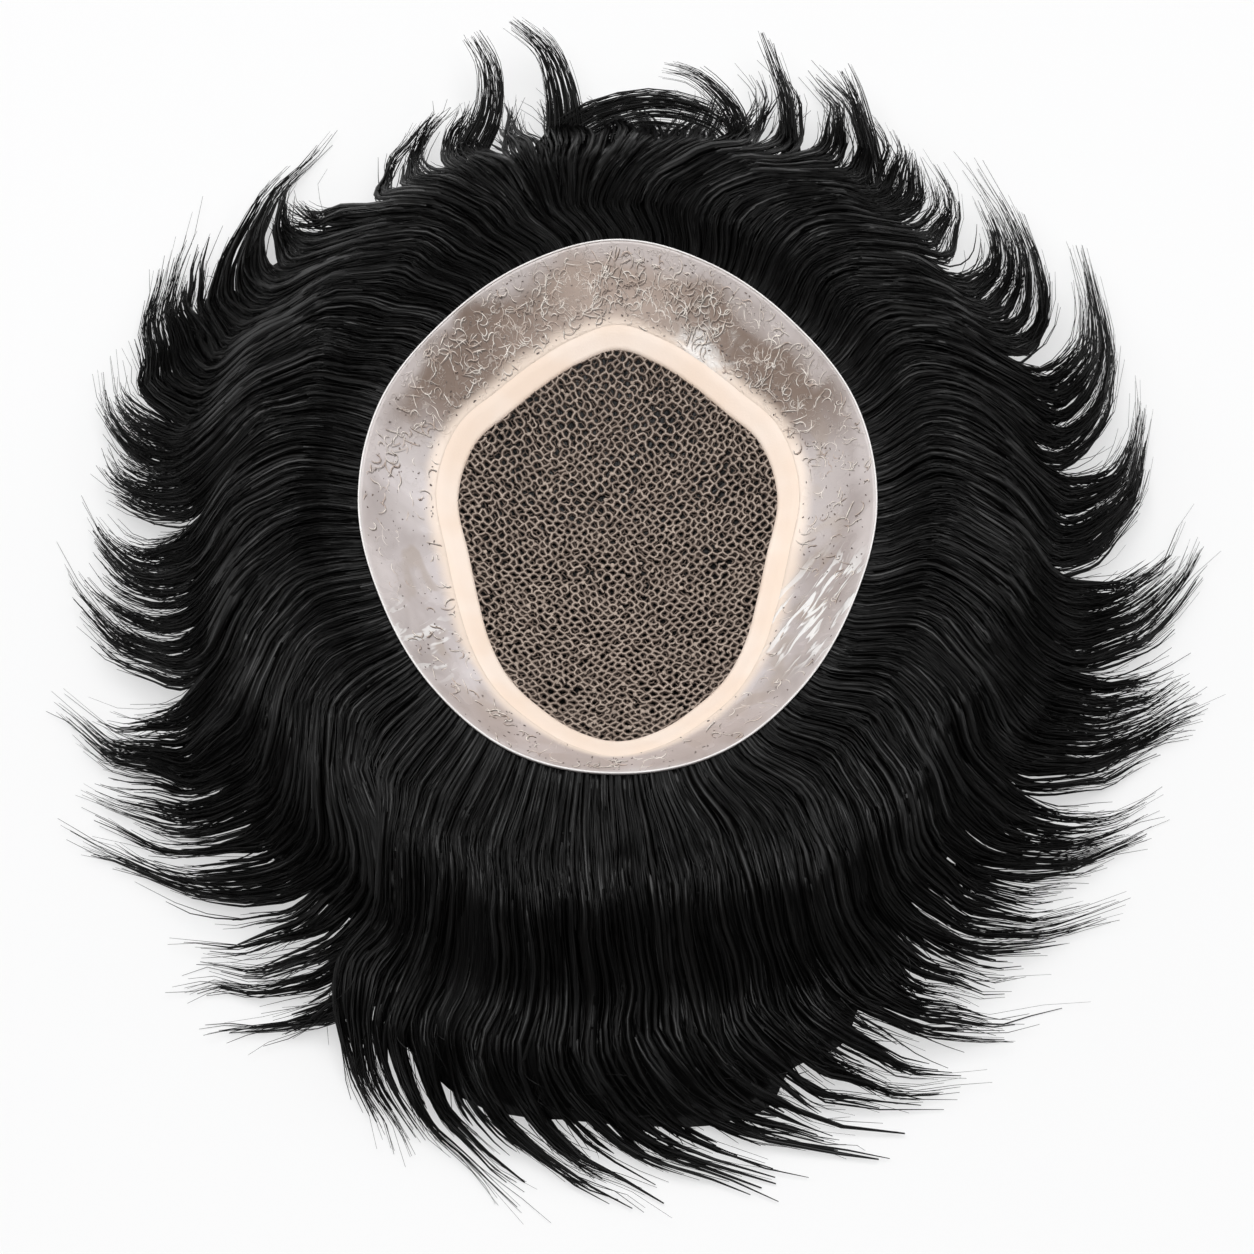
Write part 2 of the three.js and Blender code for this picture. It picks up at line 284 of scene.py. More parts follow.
def hair_plan(root, out):
    """Where a hair from a root bearing lies seen from above, a share of the way to its tip."""
    start = FLICK_START + LATE_FLICK * np.exp(-((root - LATE_ROOT) / LATE_SPREAD) ** 2)
    flicked = np.maximum(0, (out - start) / (1 - start))
    curl = np.minimum(flicked, 1) ** FLICK_POWER + np.maximum(0, flicked - 1)
    away = root - FLICK_PARTING
    taken = np.where(away > 0, TAKEN_AFTER, TAKEN_BEFORE)
    flicker = root + taken * np.exp(-np.abs(away) / PARTING_WIDTH)
    past = out * HAIR_REACH * flow(root, REACH)
    swing = smooth_step(past, SWING_START, SWING_END) * (1 - smooth_step(away, -1, 2))
    gain = FLICK_GAIN + sum(
        more * np.exp(-((root - middle) / spread) ** 2) for more, middle, spread in BENDS)
    droop = DROOP * np.exp(-((root - DROOP_ROOT) / DROOP_SPREAD) ** 2) * (away > 0)
    bearing = (
        root
        + flow(root, LEAN) * smooth_step(out, 0, LEAN_END)
        + (flow(root, FALL) + droop) * smooth_step(out, FALL_START, FALL_END)
        + flow(flicker, FLICK) * gain * curl
        + SWING * np.exp(-((root - SWING_ROOT) / SWING_SPREAD) ** 2) * swing
    )
    inside = START_INSIDE * (1 - smooth_step(out, 0, START_END))
    return bearing, radius_of(RIM, root) + past - inside


def hair_height(root, out):
    """The height of the hair's upper side, with the waves that it lies in."""
    past = out * HAIR_REACH * flow(root, REACH)
    start = base_height(root, radius_of(RIM, root)) - START_DROP
    height = RIM_HEIGHT * np.interp(out, PROFILE_OUT, PROFILE_HEIGHT)
    height = start + (height - start) * smooth_step(out, -0.02, RISE_END)
    angle = np.radians(root)
    shift = 4 * np.sin(3 * angle + 1.0) + 3 * np.sin(7 * angle + 2.0)
    full = np.clip(height / FULL_WAVE_ABOVE, 0.1, 1)
    swell = WAVE_HEIGHT * smooth_step(past, SWELL_START, SWELL_END) * full
    return height + swell * np.cos(2 * math.pi * (past - WAVE_CREST - shift) / WAVE_LENGTH)


def hair_points(root, out, lift, sway=0.0):
    """Points of hairs: lift is their height over the hair's upper side, and sway turns them."""
    bearing, radius = hair_plan(root, out)
    ridge = RIDGE_HEIGHT * np.cos(2 * math.pi * flame_place(root)) * smooth_step(out, 0.03, 0.25)
    height = hair_height(root, out) + lift * smooth_step(out, 0, 0.09) + ridge
    points = polar(bearing + sway, radius, height)
    x, y, free = points[..., 0], points[..., 1], smooth_step(out, 0.04, 0.3)
    shift = [CRIMP * free * soft_noise(x, y, CRIMP_LENGTH, seed) for seed in (91, 92)]
    lump = LUMP * free * soft_noise(x, y, LUMP_LENGTH, 93)
    height = np.maximum(height + lump, FLOOR_CLEARANCE)
    return np.stack([x + shift[0], y + shift[1], height], -1)


def uneven(root, count, seed):
    """A smooth random number from -1 to 1 at each root bearing, with a count of bends in all."""
    return smooth_ring(np.random.default_rng(seed).uniform(-1, 1, count), root * count / 360)


def flame_place(root):
    """Where roots are across their flame, from -0.5 to 0.5."""
    flame = root / FLAME_PITCH + 0.4 * uneven(root, FLAME_TURNS, 82)
    return flame - np.round(flame)


def lock_place(root):
    """Where roots are across their lock, from -0.5 to 0.5, and the lock's width in degrees."""
    turned = (np.asarray(root, float) - LOCK_EDGES[0]) % 360 + LOCK_EDGES[0]
    index = np.clip(np.searchsorted(LOCK_EDGES, turned, "right") - 1, 0, len(LOCK_EDGES) - 2)
    width = LOCK_EDGES[index + 1] - LOCK_EDGES[index]
    return (turned - LOCK_EDGES[index]) / width - 0.5, width


def outer_side(root):
    """Plus or minus one: the side of a lock that is the outside of its last curve."""
    side = np.clip(-flow(root, FLICK) / 8, -1, 1)
    near = np.abs(root - FLICK_PARTING) < 12
    return np.where(near, np.sign(FLICK_PARTING - root), side)


def from_notches(root):
    """How far roots are from each notch, in degrees, with the notch's parting."""
    return [((root - notch + 180) % 360 - 180, parting) for notch, parting in NOTCHES.items()]


def loose_from(root):
    """The share of the reach at which the hair from a root bearing begins to part."""
    return smooth_ring(LOOSE_FROM, root / TABLE_STEP)


def gathered(root, out, hold=1.0):
    """Root bearings of hairs as they draw together into flames and locks, and part at notches."""
    place, width = lock_place(root)
    side = outer_side(root)
    loose = loose_from(root)
    end = smooth_ring(TIP_SHARES, root / TABLE_STEP)
    begin = np.minimum(loose - GATHER_EARLY, end - GATHER_ROOM)
    ending = np.clip((out - begin) / (end - begin), 0, 1)
    drawn = FLAME_PITCH * INTO_FLAME * (flame_place(root) - 0.25 * side) * ending ** 0.75
    drawn = drawn + width * INTO_LOCK * (place - 0.3 * side) * ending ** 1.5
    parted = 0
    for away, parting in from_notches(root):
        parted = parted + parting * np.sign(away) * np.exp(-np.abs(away) / NOTCH_WIDTH)
    return root + parted * smooth_step(out, loose - 0.08, loose + 0.32) - hold * drawn


def tip_share(root):
    """The share of the reach at which the hair from a root bearing ends."""
    place, _ = lock_place(root)
    side = outer_side(root)
    share = smooth_ring(TIP_SHARES, root / TABLE_STEP)
    share = share * (0.91 + 0.1 * (0.5 + side * flame_place(root)))
    share = share * (1.02 - 0.14 * np.abs(place - 0.3 * side))
    return share + 0.02 * uneven(root, LENGTH_TURNS, 83)


# Meshes

def linked(name, data):
    """A new object in the scene, from a mesh, a camera or a light."""
    made = bpy.data.objects.new(name, data)
    bpy.context.scene.collection.objects.link(made)
    return made


def to_row_frame(points):
    """Rows of points in metres in the object's own frame."""
    return (np.asarray(points, float).reshape(-1, 3) * MM) + RIM_CENTRE


def store(mesh, attributes):
    """Keeps a number for each vertex under each name."""
    for name, values in attributes.items():
        layer = mesh.attributes.new(name, "FLOAT", "POINT")
        layer.data.foreach_set("value", np.asarray(values, np.float32).ravel())


def ring_mesh(name, rows, attributes, closed=True):
    """A mesh from rows of points that each go once round. Points that coincide become one."""
    count, stations = rows.shape[:2]
    index = np.arange(count * stations).reshape(count, stations)
    near, far = (index, np.roll(index, -1, 0)) if closed else (index[:-1], index[1:])
    quads = np.stack([near, np.roll(near, -1, 1), np.roll(far, -1, 1), far], axis=-1)
    mesh = bpy.data.meshes.new(name)
    mesh.from_pydata(to_row_frame(rows).tolist(), [], quads.reshape(-1, 4).tolist())
    store(mesh, attributes)
    shape = bmesh.new()
    shape.from_mesh(mesh)
    bmesh.ops.remove_doubles(shape, verts=shape.verts, dist=1e-6)
    bmesh.ops.recalc_face_normals(shape, faces=shape.faces)
    shape.to_mesh(mesh)
    shape.free()
    mesh.shade_smooth()
    return linked(name, mesh)


def finished(piece, slot, finish, *nodes):
    """Gives a piece its finish, its body and the CAD nodes that it stands for."""
    if not piece.data.materials:
        piece.data.materials.append(finish)
    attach(piece, "root")
    if nodes:
        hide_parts(*nodes)
    return piece


# Node trees

class Wire:
    """A socket in a node tree. Sums that are written on wires add Math nodes."""

    def __init__(self, tree, socket=None):
        self.tree, self.socket = tree, socket

    def node(self, kind, settings=None, inputs=None, output=0):
        """Adds a node: its settings come first, then the value or the wire of each socket."""
        made = self.tree.nodes.new(kind)
        for key, value in (settings or {}).items():
            if key == "stops":
                self.fill_ramp(made.color_ramp, value)
            else:
                setattr(made, key, value)
        for key, value in (inputs or {}).items():
            socket = self.find(made.inputs, key)
            if isinstance(value, Wire):
                self.tree.links.new(value.socket, socket)
            else:
                socket.default_value = value
        return Wire(self.tree, self.find(made.outputs, output))

    @staticmethod
    def find(sockets, key):
        """A socket by its number, or by its name among those that are in use."""
        if isinstance(key, int):
            return sockets[key]
        return next(s for s in sockets if s.name == key and s.enabled)

    @staticmethod
    def fill_ramp(ramp, stops):
        while len(ramp.elements) < len(stops):
            ramp.elements.new(1.0)
        for element, (place, colour) in zip(ramp.elements, stops):
            element.position, element.color = place, (*colour, 1.0)

    def math(self, operation, *terms):
        """A Math node on numbers and wires."""
        return self.node("ShaderNodeMath", {"operation": operation}, dict(enumerate(terms)))

    def __add__(self, other):
        return self.math("ADD", self, other)

    def __radd__(self, other):
        return self.math("ADD", other, self)

    def __sub__(self, other):
        return self.math("SUBTRACT", self, other)

    def __rsub__(self, other):
        return self.math("SUBTRACT", other, self)

    def __mul__(self, other):
        return self.math("MULTIPLY", self, other)

    def __rmul__(self, other):
        return self.math("MULTIPLY", other, self)

    def __truediv__(self, other):
        return self.math("DIVIDE", self, other)

    def __rtruediv__(self, other):
        return self.math("DIVIDE", other, self)

    def __pow__(self, other):
        return self.math("POWER", self, other)


def new_tree(name, sockets):
    """A geometry node tree with named inputs, and its input wires by name."""
    tree = bpy.data.node_groups.new(name, "GeometryNodeTree")
    tree.interface.new_socket("Geometry", in_out="OUTPUT", socket_type="NodeSocketGeometry")
    for label, kind in {"Geometry": "Geometry", **sockets}.items():
        tree.interface.new_socket(label, in_out="INPUT", socket_type="NodeSocket" + kind)
    source = tree.nodes.new("NodeGroupInput")
    return tree, {s.name: Wire(tree, s) for s in source.outputs if s.name}


def end_tree(wire, material):
    """Ends a geometry node tree: smooth faces, real meshes and the finish."""
    wire = wire.node("GeometryNodeSetShadeSmooth", {}, {"Geometry": wire})
    wire = wire.node("GeometryNodeRealizeInstances", {}, {"Geometry": wire})
    wire = wire.node("GeometryNodeSetMaterial", {}, {"Geometry": wire, "Material": material})
    end = wire.tree.nodes.new("NodeGroupOutput")
    wire.tree.links.new(wire.socket, end.inputs["Geometry"])
    return wire.tree


def thread_tree():
    """Sweeps a rounded thread along every run of edges, as thick as each point asks."""
    tree, given = new_tree("swept_threads", {
        "Sides": "Int", "Thickness": "Float", "Flatness": "Float", "Hairs Across": "Float",
        "Unevenness": "Float", "Seed": "Int", "Material": "Material",
    })
    start = Wire(tree)
    curve = start.node("GeometryNodeMeshToCurve", {}, {"Mesh": given["Geometry"]})
    curve = start.node("GeometryNodeSetCurveNormal", {"mode": "Z_UP"}, {"Curve": curve})
    circle = start.node("GeometryNodeCurvePrimitiveCircle", {}, {
        "Resolution": given["Sides"], "Radius": 1.0})
    place = start.node("GeometryNodeInputPosition")
    side = start.node("ShaderNodeSeparateXYZ", {}, {"Vector": place}, "X")
    circle = start.node(
        "GeometryNodeStoreNamedAttribute", {"data_type": "FLOAT", "domain": "POINT"},
        {"Geometry": circle, "Name": "across", "Value": side * given["Hairs Across"]})
    size = start.node("ShaderNodeCombineXYZ", {}, {"X": 1.0, "Y": given["Flatness"], "Z": 1.0})
    circle = start.node("GeometryNodeTransform", {}, {"Geometry": circle, "Scale": size})
    thickness = start.node(
        "GeometryNodeInputNamedAttribute", {"data_type": "FLOAT"}, {"Name": "thickness"})
    owner = start.node("GeometryNodeCurveOfPoint", {}, {}, "Curve Index")
    chance = start.node("FunctionNodeRandomValue", {"data_type": "FLOAT"}, {
        "Min": -1.0, "Max": 1.0, "ID": owner, "Seed": given["Seed"]}, "Value")
    scale = thickness * given["Thickness"] * (1 + chance * given["Unevenness"])
    mesh = start.node("GeometryNodeCurveToMesh", {}, {
        "Curve": curve, "Profile Curve": circle, "Scale": scale, "Fill Caps": True})
    return end_tree(mesh, given["Material"])


def bead_tree():
    """Sets a small turned bead on every point, of a size that each point asks."""
    tree, given = new_tree("set_beads", {
        "Size": "Float", "Flatness": "Float", "Stretch": "Float", "Unevenness": "Float",
        "Seed": "Int", "Material": "Material",
    })
    start = Wire(tree)
    bead = start.node("GeometryNodeMeshUVSphere", {}, {"Segments": 6, "Rings": 3, "Radius": 1.0})
    turn = start.node("FunctionNodeRandomValue", {"data_type": "FLOAT"}, {
        "Min": 0.0, "Max": 2 * math.pi, "Seed": given["Seed"]}, "Value")
    turn = start.node("ShaderNodeCombineXYZ", {}, {"Z": turn})
    chance = start.node("FunctionNodeRandomValue", {"data_type": "FLOAT"}, {
        "Min": -1.0, "Max": 1.0, "Seed": given["Seed"] + 1}, "Value")
    wanted = start.node(
        "GeometryNodeInputNamedAttribute", {"data_type": "FLOAT"}, {"Name": "thickness"})
    size = wanted * given["Size"] * (1 + chance * given["Unevenness"])
    scale = start.node("ShaderNodeCombineXYZ", {}, {
        "X": size * given["Stretch"], "Y": size, "Z": size * given["Flatness"]})
    beads = start.node("GeometryNodeInstanceOnPoints", {}, {
        "Points": given["Geometry"], "Instance": bead, "Rotation": turn, "Scale": scale})
    return end_tree(beads, given["Material"])


def grown(name, points, edges, attributes, tree, inputs):
    """Runs a geometry node tree on points and edges, and keeps the result as a plain mesh."""
    guide = bpy.data.meshes.new(name + "_guide")
    guide.from_pydata(to_row_frame(points).tolist(), np.asarray(edges).reshape(-1, 2).tolist(), [])
    store(guide, attributes)
    piece = linked(name, guide)
    modifier = piece.modifiers.new("grow", "NODES")
    modifier.node_group = tree
    for item in tree.interface.items_tree:
        if item.in_out == "INPUT" and item.name in inputs:
            modifier[item.identifier] = inputs[item.name]
    view = bpy.context.evaluated_depsgraph_get()
    made = bpy.data.meshes.new_from_object(
        piece.evaluated_get(view), preserve_all_data_layers=True, depsgraph=view)
    piece.modifiers.remove(modifier)
    piece.data = made
    made.name = name
    made.materials.clear()
    made.materials.append(inputs["Material"])
    made.polygons.foreach_set("material_index", np.zeros(len(made.polygons), np.int32))
    bpy.data.meshes.remove(guide)
    return piece


def run_edges(paths):
    """The edges along paths that are laid out as rows of equally many points."""
    count, length = paths.shape[:2]
    index = np.arange(count * length).reshape(count, length)
    return np.stack([index[:, :-1], index[:, 1:]], axis=-1).reshape(-1, 2)


# Finishes

# The finishes' colours.
HAIR_BLACK, HAIR_GREY = (0.0004, 0.0004, 0.0005), (0.0026, 0.0024, 0.0023)
HAIR_BROWN = (0.002, 0.0016, 0.0013)
THREAD_DARK, THREAD_LIGHT = (0.15, 0.108, 0.086), (0.5, 0.41, 0.345)
# The second colour on this line is painted shade for the threads' flanks.
THREAD_BLOTCH, THREAD_FLANK_SHADE = (0.2, 0.155, 0.125), (0.1, 0.072, 0.058)
CREAM, BLUSH = (0.9, 0.735, 0.61), (0.93, 0.8, 0.7)
TAUPE_LIGHT, TAUPE = (0.5, 0.4, 0.345), (0.26, 0.195, 0.16)
# The sides' lilac greys are partly the film's tint and partly painted reflection.
LILAC_SHEEN_DARK, LILAC_SHEEN, LILAC_BROWN = (0.5, 0.445, 0.435), (0.72, 0.665, 0.67), (0.42, 0.36, 0.345)
FILM_PATCH, FILM_FRONT = (0.44, 0.36, 0.3), (0.56, 0.46, 0.42)
# The first colour on this line is painted highlight towards the film's rim.
FILM_RIM_HIGHLIGHT, FILM_AT_BAND = (0.74, 0.68, 0.67), (0.91, 0.77, 0.66)
# The film's curls: painted highlight on their tops and painted shade at their feet; then the painted
# glint colour.
CURL_HIGHLIGHT, CURL_SHADE, GLINT = (0.8, 0.72, 0.66), (0.15, 0.115, 0.095), (0.98, 0.97, 0.96)
# Squiggle colours: the pale ones are partly painted highlight; the dark one serves hair roots and
# painted shade lines.
MARK_TAN, MARK_PALE_SHEEN, MARK_ROOT_AND_SHADE = (0.62, 0.5, 0.43), (0.98, 0.91, 0.84), (0.085, 0.06, 0.05)
EDGE_GREY, EDGE_WHITE = (0.8, 0.76, 0.74), (0.97, 0.95, 0.94)
FLOOR_GREY, WHITE = (0.42, 0.42, 0.422, 1.0), (1.0, 1.0, 1.0, 1.0)
FLOOR_GLOW = 0.51

# Where painted glints lie on the film: its creases, a fold and a gloss, each with its full and its
# faint reach.
CREASES = ((71, -38, 42), 14, 32)
FOLD = ((-68, -50, 44), 8, 24)
GLOSS = ((30, 68, 34), 4, 19)


def new_finish(name, fixed):
    """A material whose shader has fixed values on its own sockets; returns it and its start."""
    finish = bpy.data.materials.new(name)
    finish.use_nodes = True
    shader = finish.node_tree.nodes["Principled BSDF"]
    for socket, value in fixed.items():
        shader.inputs[socket].default_value = value
    return finish, Wire(finish.node_tree)


def feed(wire, socket):
    """Joins a wire to a socket of its material's shader."""
    shader = wire.tree.nodes["Principled BSDF"]
    wire.tree.links.new(wire.socket, shader.inputs[socket])


def noise(at, scale, detail=2.0, distortion=0.0):
    """A cloudy number from 0 to 1 at a place."""
    return at.node("ShaderNodeTexNoise", {}, {
        "Vector": at, "Scale": scale, "Detail": detail, "Distortion": distortion}, "Fac")


def ramp(wire, low, high, start=0.0, end=1.0):
    """A number that goes smoothly from one value to another between two values of a wire."""
    return wire.node(
        "ShaderNodeMapRange", {"interpolation_type": "SMOOTHSTEP"},
        {"Value": wire, "From Min": low, "From Max": high, "To Min": start, "To Max": end})


def blend(share, first, second):
    """A colour that goes from the first to the second."""
    inputs = {"Factor": share}
    for key, colour in (("A", first), ("B", second)):
        inputs[key] = colour if isinstance(colour, Wire) else (*colour, 1.0)
    return share.node("ShaderNodeMix", {"data_type": "RGBA"}, inputs, "Result")


def bump(height, strength, distance, normal=None):
    """The surface's direction with fine relief on it."""
    inputs = {"Strength": strength, "Distance": distance, "Height": height}
    if normal is not None:
        inputs["Normal"] = normal
    return height.node("ShaderNodeBump", {}, inputs)


def number(start, name):
    """One of the numbers that the meshes keep for each vertex."""
    return start.node("ShaderNodeAttribute", {"attribute_name": name}, {}, "Fac")


def hair_finish():
    """Black satin hair: fine lines run along it, and each lock has its own tone."""
    finish, start = new_finish("black_hair", {
        "Specular IOR Level": 0.14, "IOR": 1.5, "Coat Roughness": 0.24, "Coat IOR": 1.5})
    across, along, tone = (number(start, name) for name in ("across", "along", "tone"))
    lines = start.node("ShaderNodeCombineXYZ", {}, {
        "X": across + tone * 91.0, "Y": tone * 57.0, "Z": along * 0.05})
    fine = noise(lines, 1.3, 3.0)
    broad = noise(lines, 0.4, 1.0)
    colour = blend(ramp(fine, 0.3, 0.75), HAIR_BLACK, HAIR_GREY)
    colour = blend(ramp(tone, 0.0, 1.0, 0.0, 0.4), colour, HAIR_BROWN)
    feed(colour, "Base Color")
    feed(ramp(broad, 0.25, 0.75, 0.26, 0.42), "Roughness")
    feed(ramp(fine + (broad - 0.5) * 0.5, 0.46, 0.66, 0.0, 0.6), "Coat Weight")
    feed(bump(fine * 0.7 + broad * 0.6, 0.9, 0.0005), "Normal")
    return finish


def lace_finish():
    """Taupe knotted thread, lighter where tone is high, with a fine twist and painted shade on its
    flanks.
    """
    finish, start = new_finish("lace_thread", {"Specular IOR Level": 0.35, "Roughness": 0.6})
    place = start.node("ShaderNodeTexCoord", {}, {}, "Object")
    tone, across = number(start, "tone"), number(start, "across")
    blotch = noise(place, 160.0, 2.0)
    colour = blend(tone, THREAD_DARK, THREAD_LIGHT)
    colour = blend(ramp(blotch, 0.35, 0.7, 0.0, 0.4), colour, THREAD_BLOTCH)
    # Painted shade: the thread is darker on its flanks, away from its top.
    flank_shade = ramp(across.math("ABSOLUTE", across), 0.1, 0.56)
    colour = blend(flank_shade, colour, THREAD_FLANK_SHADE)
    feed(colour, "Base Color")
    feed(ramp(noise(place, 900.0), 0.3, 0.7, 0.45, 0.75), "Roughness")
    feed(bump(noise(place, 2200.0, 2.0), 0.6, 0.0002), "Normal")
    return finish


def band_finish():
    """Smooth cream tape with a soft blush and a barely woven face."""
    finish, start = new_finish("cream_band", {"Specular IOR Level": 0.4})
    place = start.node("ShaderNodeTexCoord", {}, {}, "Object")
    blush = noise(place, 45.0, 2.0)
    colour = blend(ramp(blush, 0.35, 0.68), CREAM, BLUSH)
    feed(colour, "Base Color")
    feed(ramp(noise(place, 300.0), 0.3, 0.7, 0.42, 0.6), "Roughness")
    feed(bump(noise(place, 1400.0, 3.0), 0.25, 0.0002), "Normal")
    return finish


def near_place(place, middle, inner, outer):
    """One near a place that is given in millimetres from the rim's centre, and nought far off."""
    away = place.node("ShaderNodeVectorMath", {"operation": "DISTANCE"}, {
        0: place, 1: tuple(to_row_frame(middle)[0])}, "Value")
    return ramp(away, inner * MM, outer * MM, 1.0, 0.0)


def film_tint(place, across, cloud):
    """The film's colour before its curls: taupe at the back, and at the sides a pale lilac grey that
    is partly painted reflection, with a painted highlight towards the rim.
    """
    x, y = (place.node("ShaderNodeSeparateXYZ", {}, {"Vector": place}, axis) for axis in "XY")
    x, y = x - float(RIM_CENTRE[0]), y - float(RIM_CENTRE[1])
    sideways = x.math("ABSOLUTE", x) + (cloud - 0.5) * 0.03
    taupe = blend(ramp(sideways, 0.008, 0.046), TAUPE_LIGHT, TAUPE)
    # Sides: pale lilac grey, partly painted reflection.
    side = blend(ramp(cloud, 0.3, 0.7), LILAC_SHEEN_DARK, LILAC_SHEEN)
    side = blend(ramp(x, 0.05, 0.08, 0.0, 0.8), side, LILAC_BROWN)
    patch = ramp(noise(place, 52.0, 2.0, 0.8), 0.5, 0.6) * ramp(across, 0.08, 0.3)
    side = blend(patch * ramp(across, 0.45, 0.8, 0.5, 0.0), side, FILM_PATCH)
    behind = ramp(y + (cloud - 0.5) * 0.05, 0.018, 0.05)
    colour = blend(behind, side, taupe)
    front = ramp(y, -0.085, -0.06, 0.6, 0.0)
    colour = blend(front, colour, FILM_FRONT)
    # Painted highlight: the film grows paler towards its rim.
    edge = ramp(across + (cloud - 0.5) * 0.9, 0.66, 1.0, 0.0, 0.8)
    return blend(edge, colour, FILM_RIM_HIGHLIGHT), behind


def film_finish():
    """Clear moulded skin over dark hair, with fine moulded curls and a few glossy creases; the curls
    carry painted highlight on their tops and painted shade at their feet, and painted glints lie on
    the creases, a fold and a gloss patch.
    """
    finish, start = new_finish("clear_film", {
        "Specular IOR Level": 0.55, "Coat Roughness": 0.12, "Coat IOR": 1.5})
    place = start.node("ShaderNodeTexCoord", {}, {}, "Object")
    across = number(start, "across")
    cloud = noise(place, 38.0, 3.0, 0.6)
    colour, behind = film_tint(place, across, cloud)
    # Fine curls: painted highlight where the worm noise crests, painted shade where it dips.
    curl, foot = 0.0, 0.0
    sparse = ramp(noise(place, 90.0, 1.0), 0.46, 0.58)
    for scale, mask in ((250.0, 260.0), (360.0, 300.0)):
        worm = noise(place, scale, 0.0, 1.0)
        amount = ramp(noise(place, mask, 0.0), 0.5, 0.55) * (behind * 0.8 + sparse * 0.2)
        crest, dip = worm - 0.5, worm - 0.55
        curl = curl + ramp(crest.math("ABSOLUTE", crest), 0.012, 0.04, 1.0, 0.0) * amount
        foot = foot + ramp(dip.math("ABSOLUTE", dip), 0.008, 0.03, 1.0, 0.0) * amount
    colour = blend(curl.math("MINIMUM", curl, 1.0) * 0.4, colour, CURL_HIGHLIGHT)
    colour = blend(foot.math("MINIMUM", foot, 1.0) * 0.3, colour, CURL_SHADE)
    by_band = ramp(across + (cloud - 0.5) * 0.2, 0.04, 0.24, 1.0, 0.0)
    colour = blend(by_band, colour, FILM_AT_BAND)
    turned = start.node("ShaderNodeVectorRotate", {"rotation_type": "Z_AXIS"}, {
        "Vector": place, "Angle": math.radians(-52)})
    drawn = start.node("ShaderNodeVectorMath", {"operation": "MULTIPLY"}, {
        0: turned, 1: (0.22, 1.0, 0.3)})
    streak = noise(drawn, 300.0, 2.0, 0.7)
    # Painted glints: near white on the creases, the fold and the gloss patch.
    crease = ramp(streak, 0.53, 0.6) * near_place(place, *CREASES)
    fold = ramp(streak, 0.55, 0.63) * near_place(place, *FOLD)
    gloss = ramp(noise(place, 130.0, 3.0, 0.8), 0.4, 0.66) * near_place(place, *GLOSS)
    shine = crease * 0.95 + fold * 0.7 + gloss * 0.75
    colour = blend(shine, colour, GLINT)
    feed(colour, "Base Color")
    feed(ramp(cloud, 0.3, 0.7, 0.18, 0.36), "Roughness")
    feed(ramp(cloud, 0.3, 0.7, 0.7, 0.35), "Coat Weight")
    relief = bump(noise(place, 420.0, 3.0, 0.8), 0.22, 0.0003)
    feed(bump(curl + crease * 2.0 + gloss, 0.55, 0.0004, relief), "Normal")
    return finish


def mark_finish():
    """The film's moulded squiggles: pale ridges, their paleness partly painted highlight; where tone
    is high, the dark roots of hairs and the painted shade lines beside the ridges.
    """
    finish, start = new_finish("film_marks", {"Specular IOR Level": 0.6, "Coat Roughness": 0.1})
    place = start.node("ShaderNodeTexCoord", {}, {}, "Object")
    tone = number(start, "tone")
    patch = noise(place, 220.0, 2.0)
    # Pale ridge colour, partly painted highlight; where tone is high, the hairs' dark roots and the
    # painted shade lines.
    pale = blend(ramp(patch, 0.35, 0.6), MARK_TAN, MARK_PALE_SHEEN)
    colour = blend(tone, pale, MARK_ROOT_AND_SHADE)
    feed(colour, "Base Color")
    feed(ramp(patch, 0.3, 0.7, 0.15, 0.35), "Roughness")
    return finish


def rim_finish():
    """The film's cut edge, which catches the light all round."""
    finish, start = new_finish("film_edge", {"Specular IOR Level": 0.6})
    place = start.node("ShaderNodeTexCoord", {}, {}, "Object")
    feed(blend(noise(place, 120.0), EDGE_GREY, EDGE_WHITE), "Base Color")
    feed(ramp(noise(place, 400.0), 0.3, 0.7, 0.15, 0.35), "Roughness")
    return finish


def floor_finish():
    """A white surface that keeps a faint shadow."""
    finish, _ = new_finish("pale_floor", {
        "Base Color": FLOOR_GREY, "Roughness": 0.85, "Specular IOR Level": 0.1,
        "Emission Color": WHITE, "Emission Strength": FLOOR_GLOW})
    return finish


# Camera, floor and light

CAMERA_ELEVATION = 65.0
CAMERA_DISTANCE = 1300.0
CAMERA_AIM = np.array([3.3, -48.6, 52.0])
PIXEL_AT_AIM = 0.345
PHOTO_PIXELS = 1254
SENSOR = 36.0
WORLD_STRENGTH = 0.17
FLOOR_HALF = 4.0

# The soft lights: where each stands, its side and its power.
LIGHTS = {
    "top_light": ((0.0, 0.1, 2.2), 2.4, 54.0),
    "left_light": ((-2.2, 0.9, 1.3), 1.4, 13.0),
    "right_light": ((2.2, 0.7, 1.3), 1.4, 10.0),
}


def set_camera():
    """A camera that sees the object from the photo's angle and distance."""
    data = bpy.data.cameras.new("camera")
    data.sensor_width = SENSOR
    data.lens = SENSOR * CAMERA_DISTANCE / (PIXEL_AT_AIM * PHOTO_PIXELS)
    data.clip_start, data.clip_end = 0.05, 20.0
    camera = linked("camera", data)
    tilt = math.radians(CAMERA_ELEVATION)
    back = np.array([0.0, -math.cos(tilt), math.sin(tilt)])
    camera.location = Vector(to_row_frame(CAMERA_AIM + back * CAMERA_DISTANCE)[0])
    camera.rotation_euler = (math.pi / 2 - tilt, 0.0, 0.0)
    bpy.context.scene.camera = camera


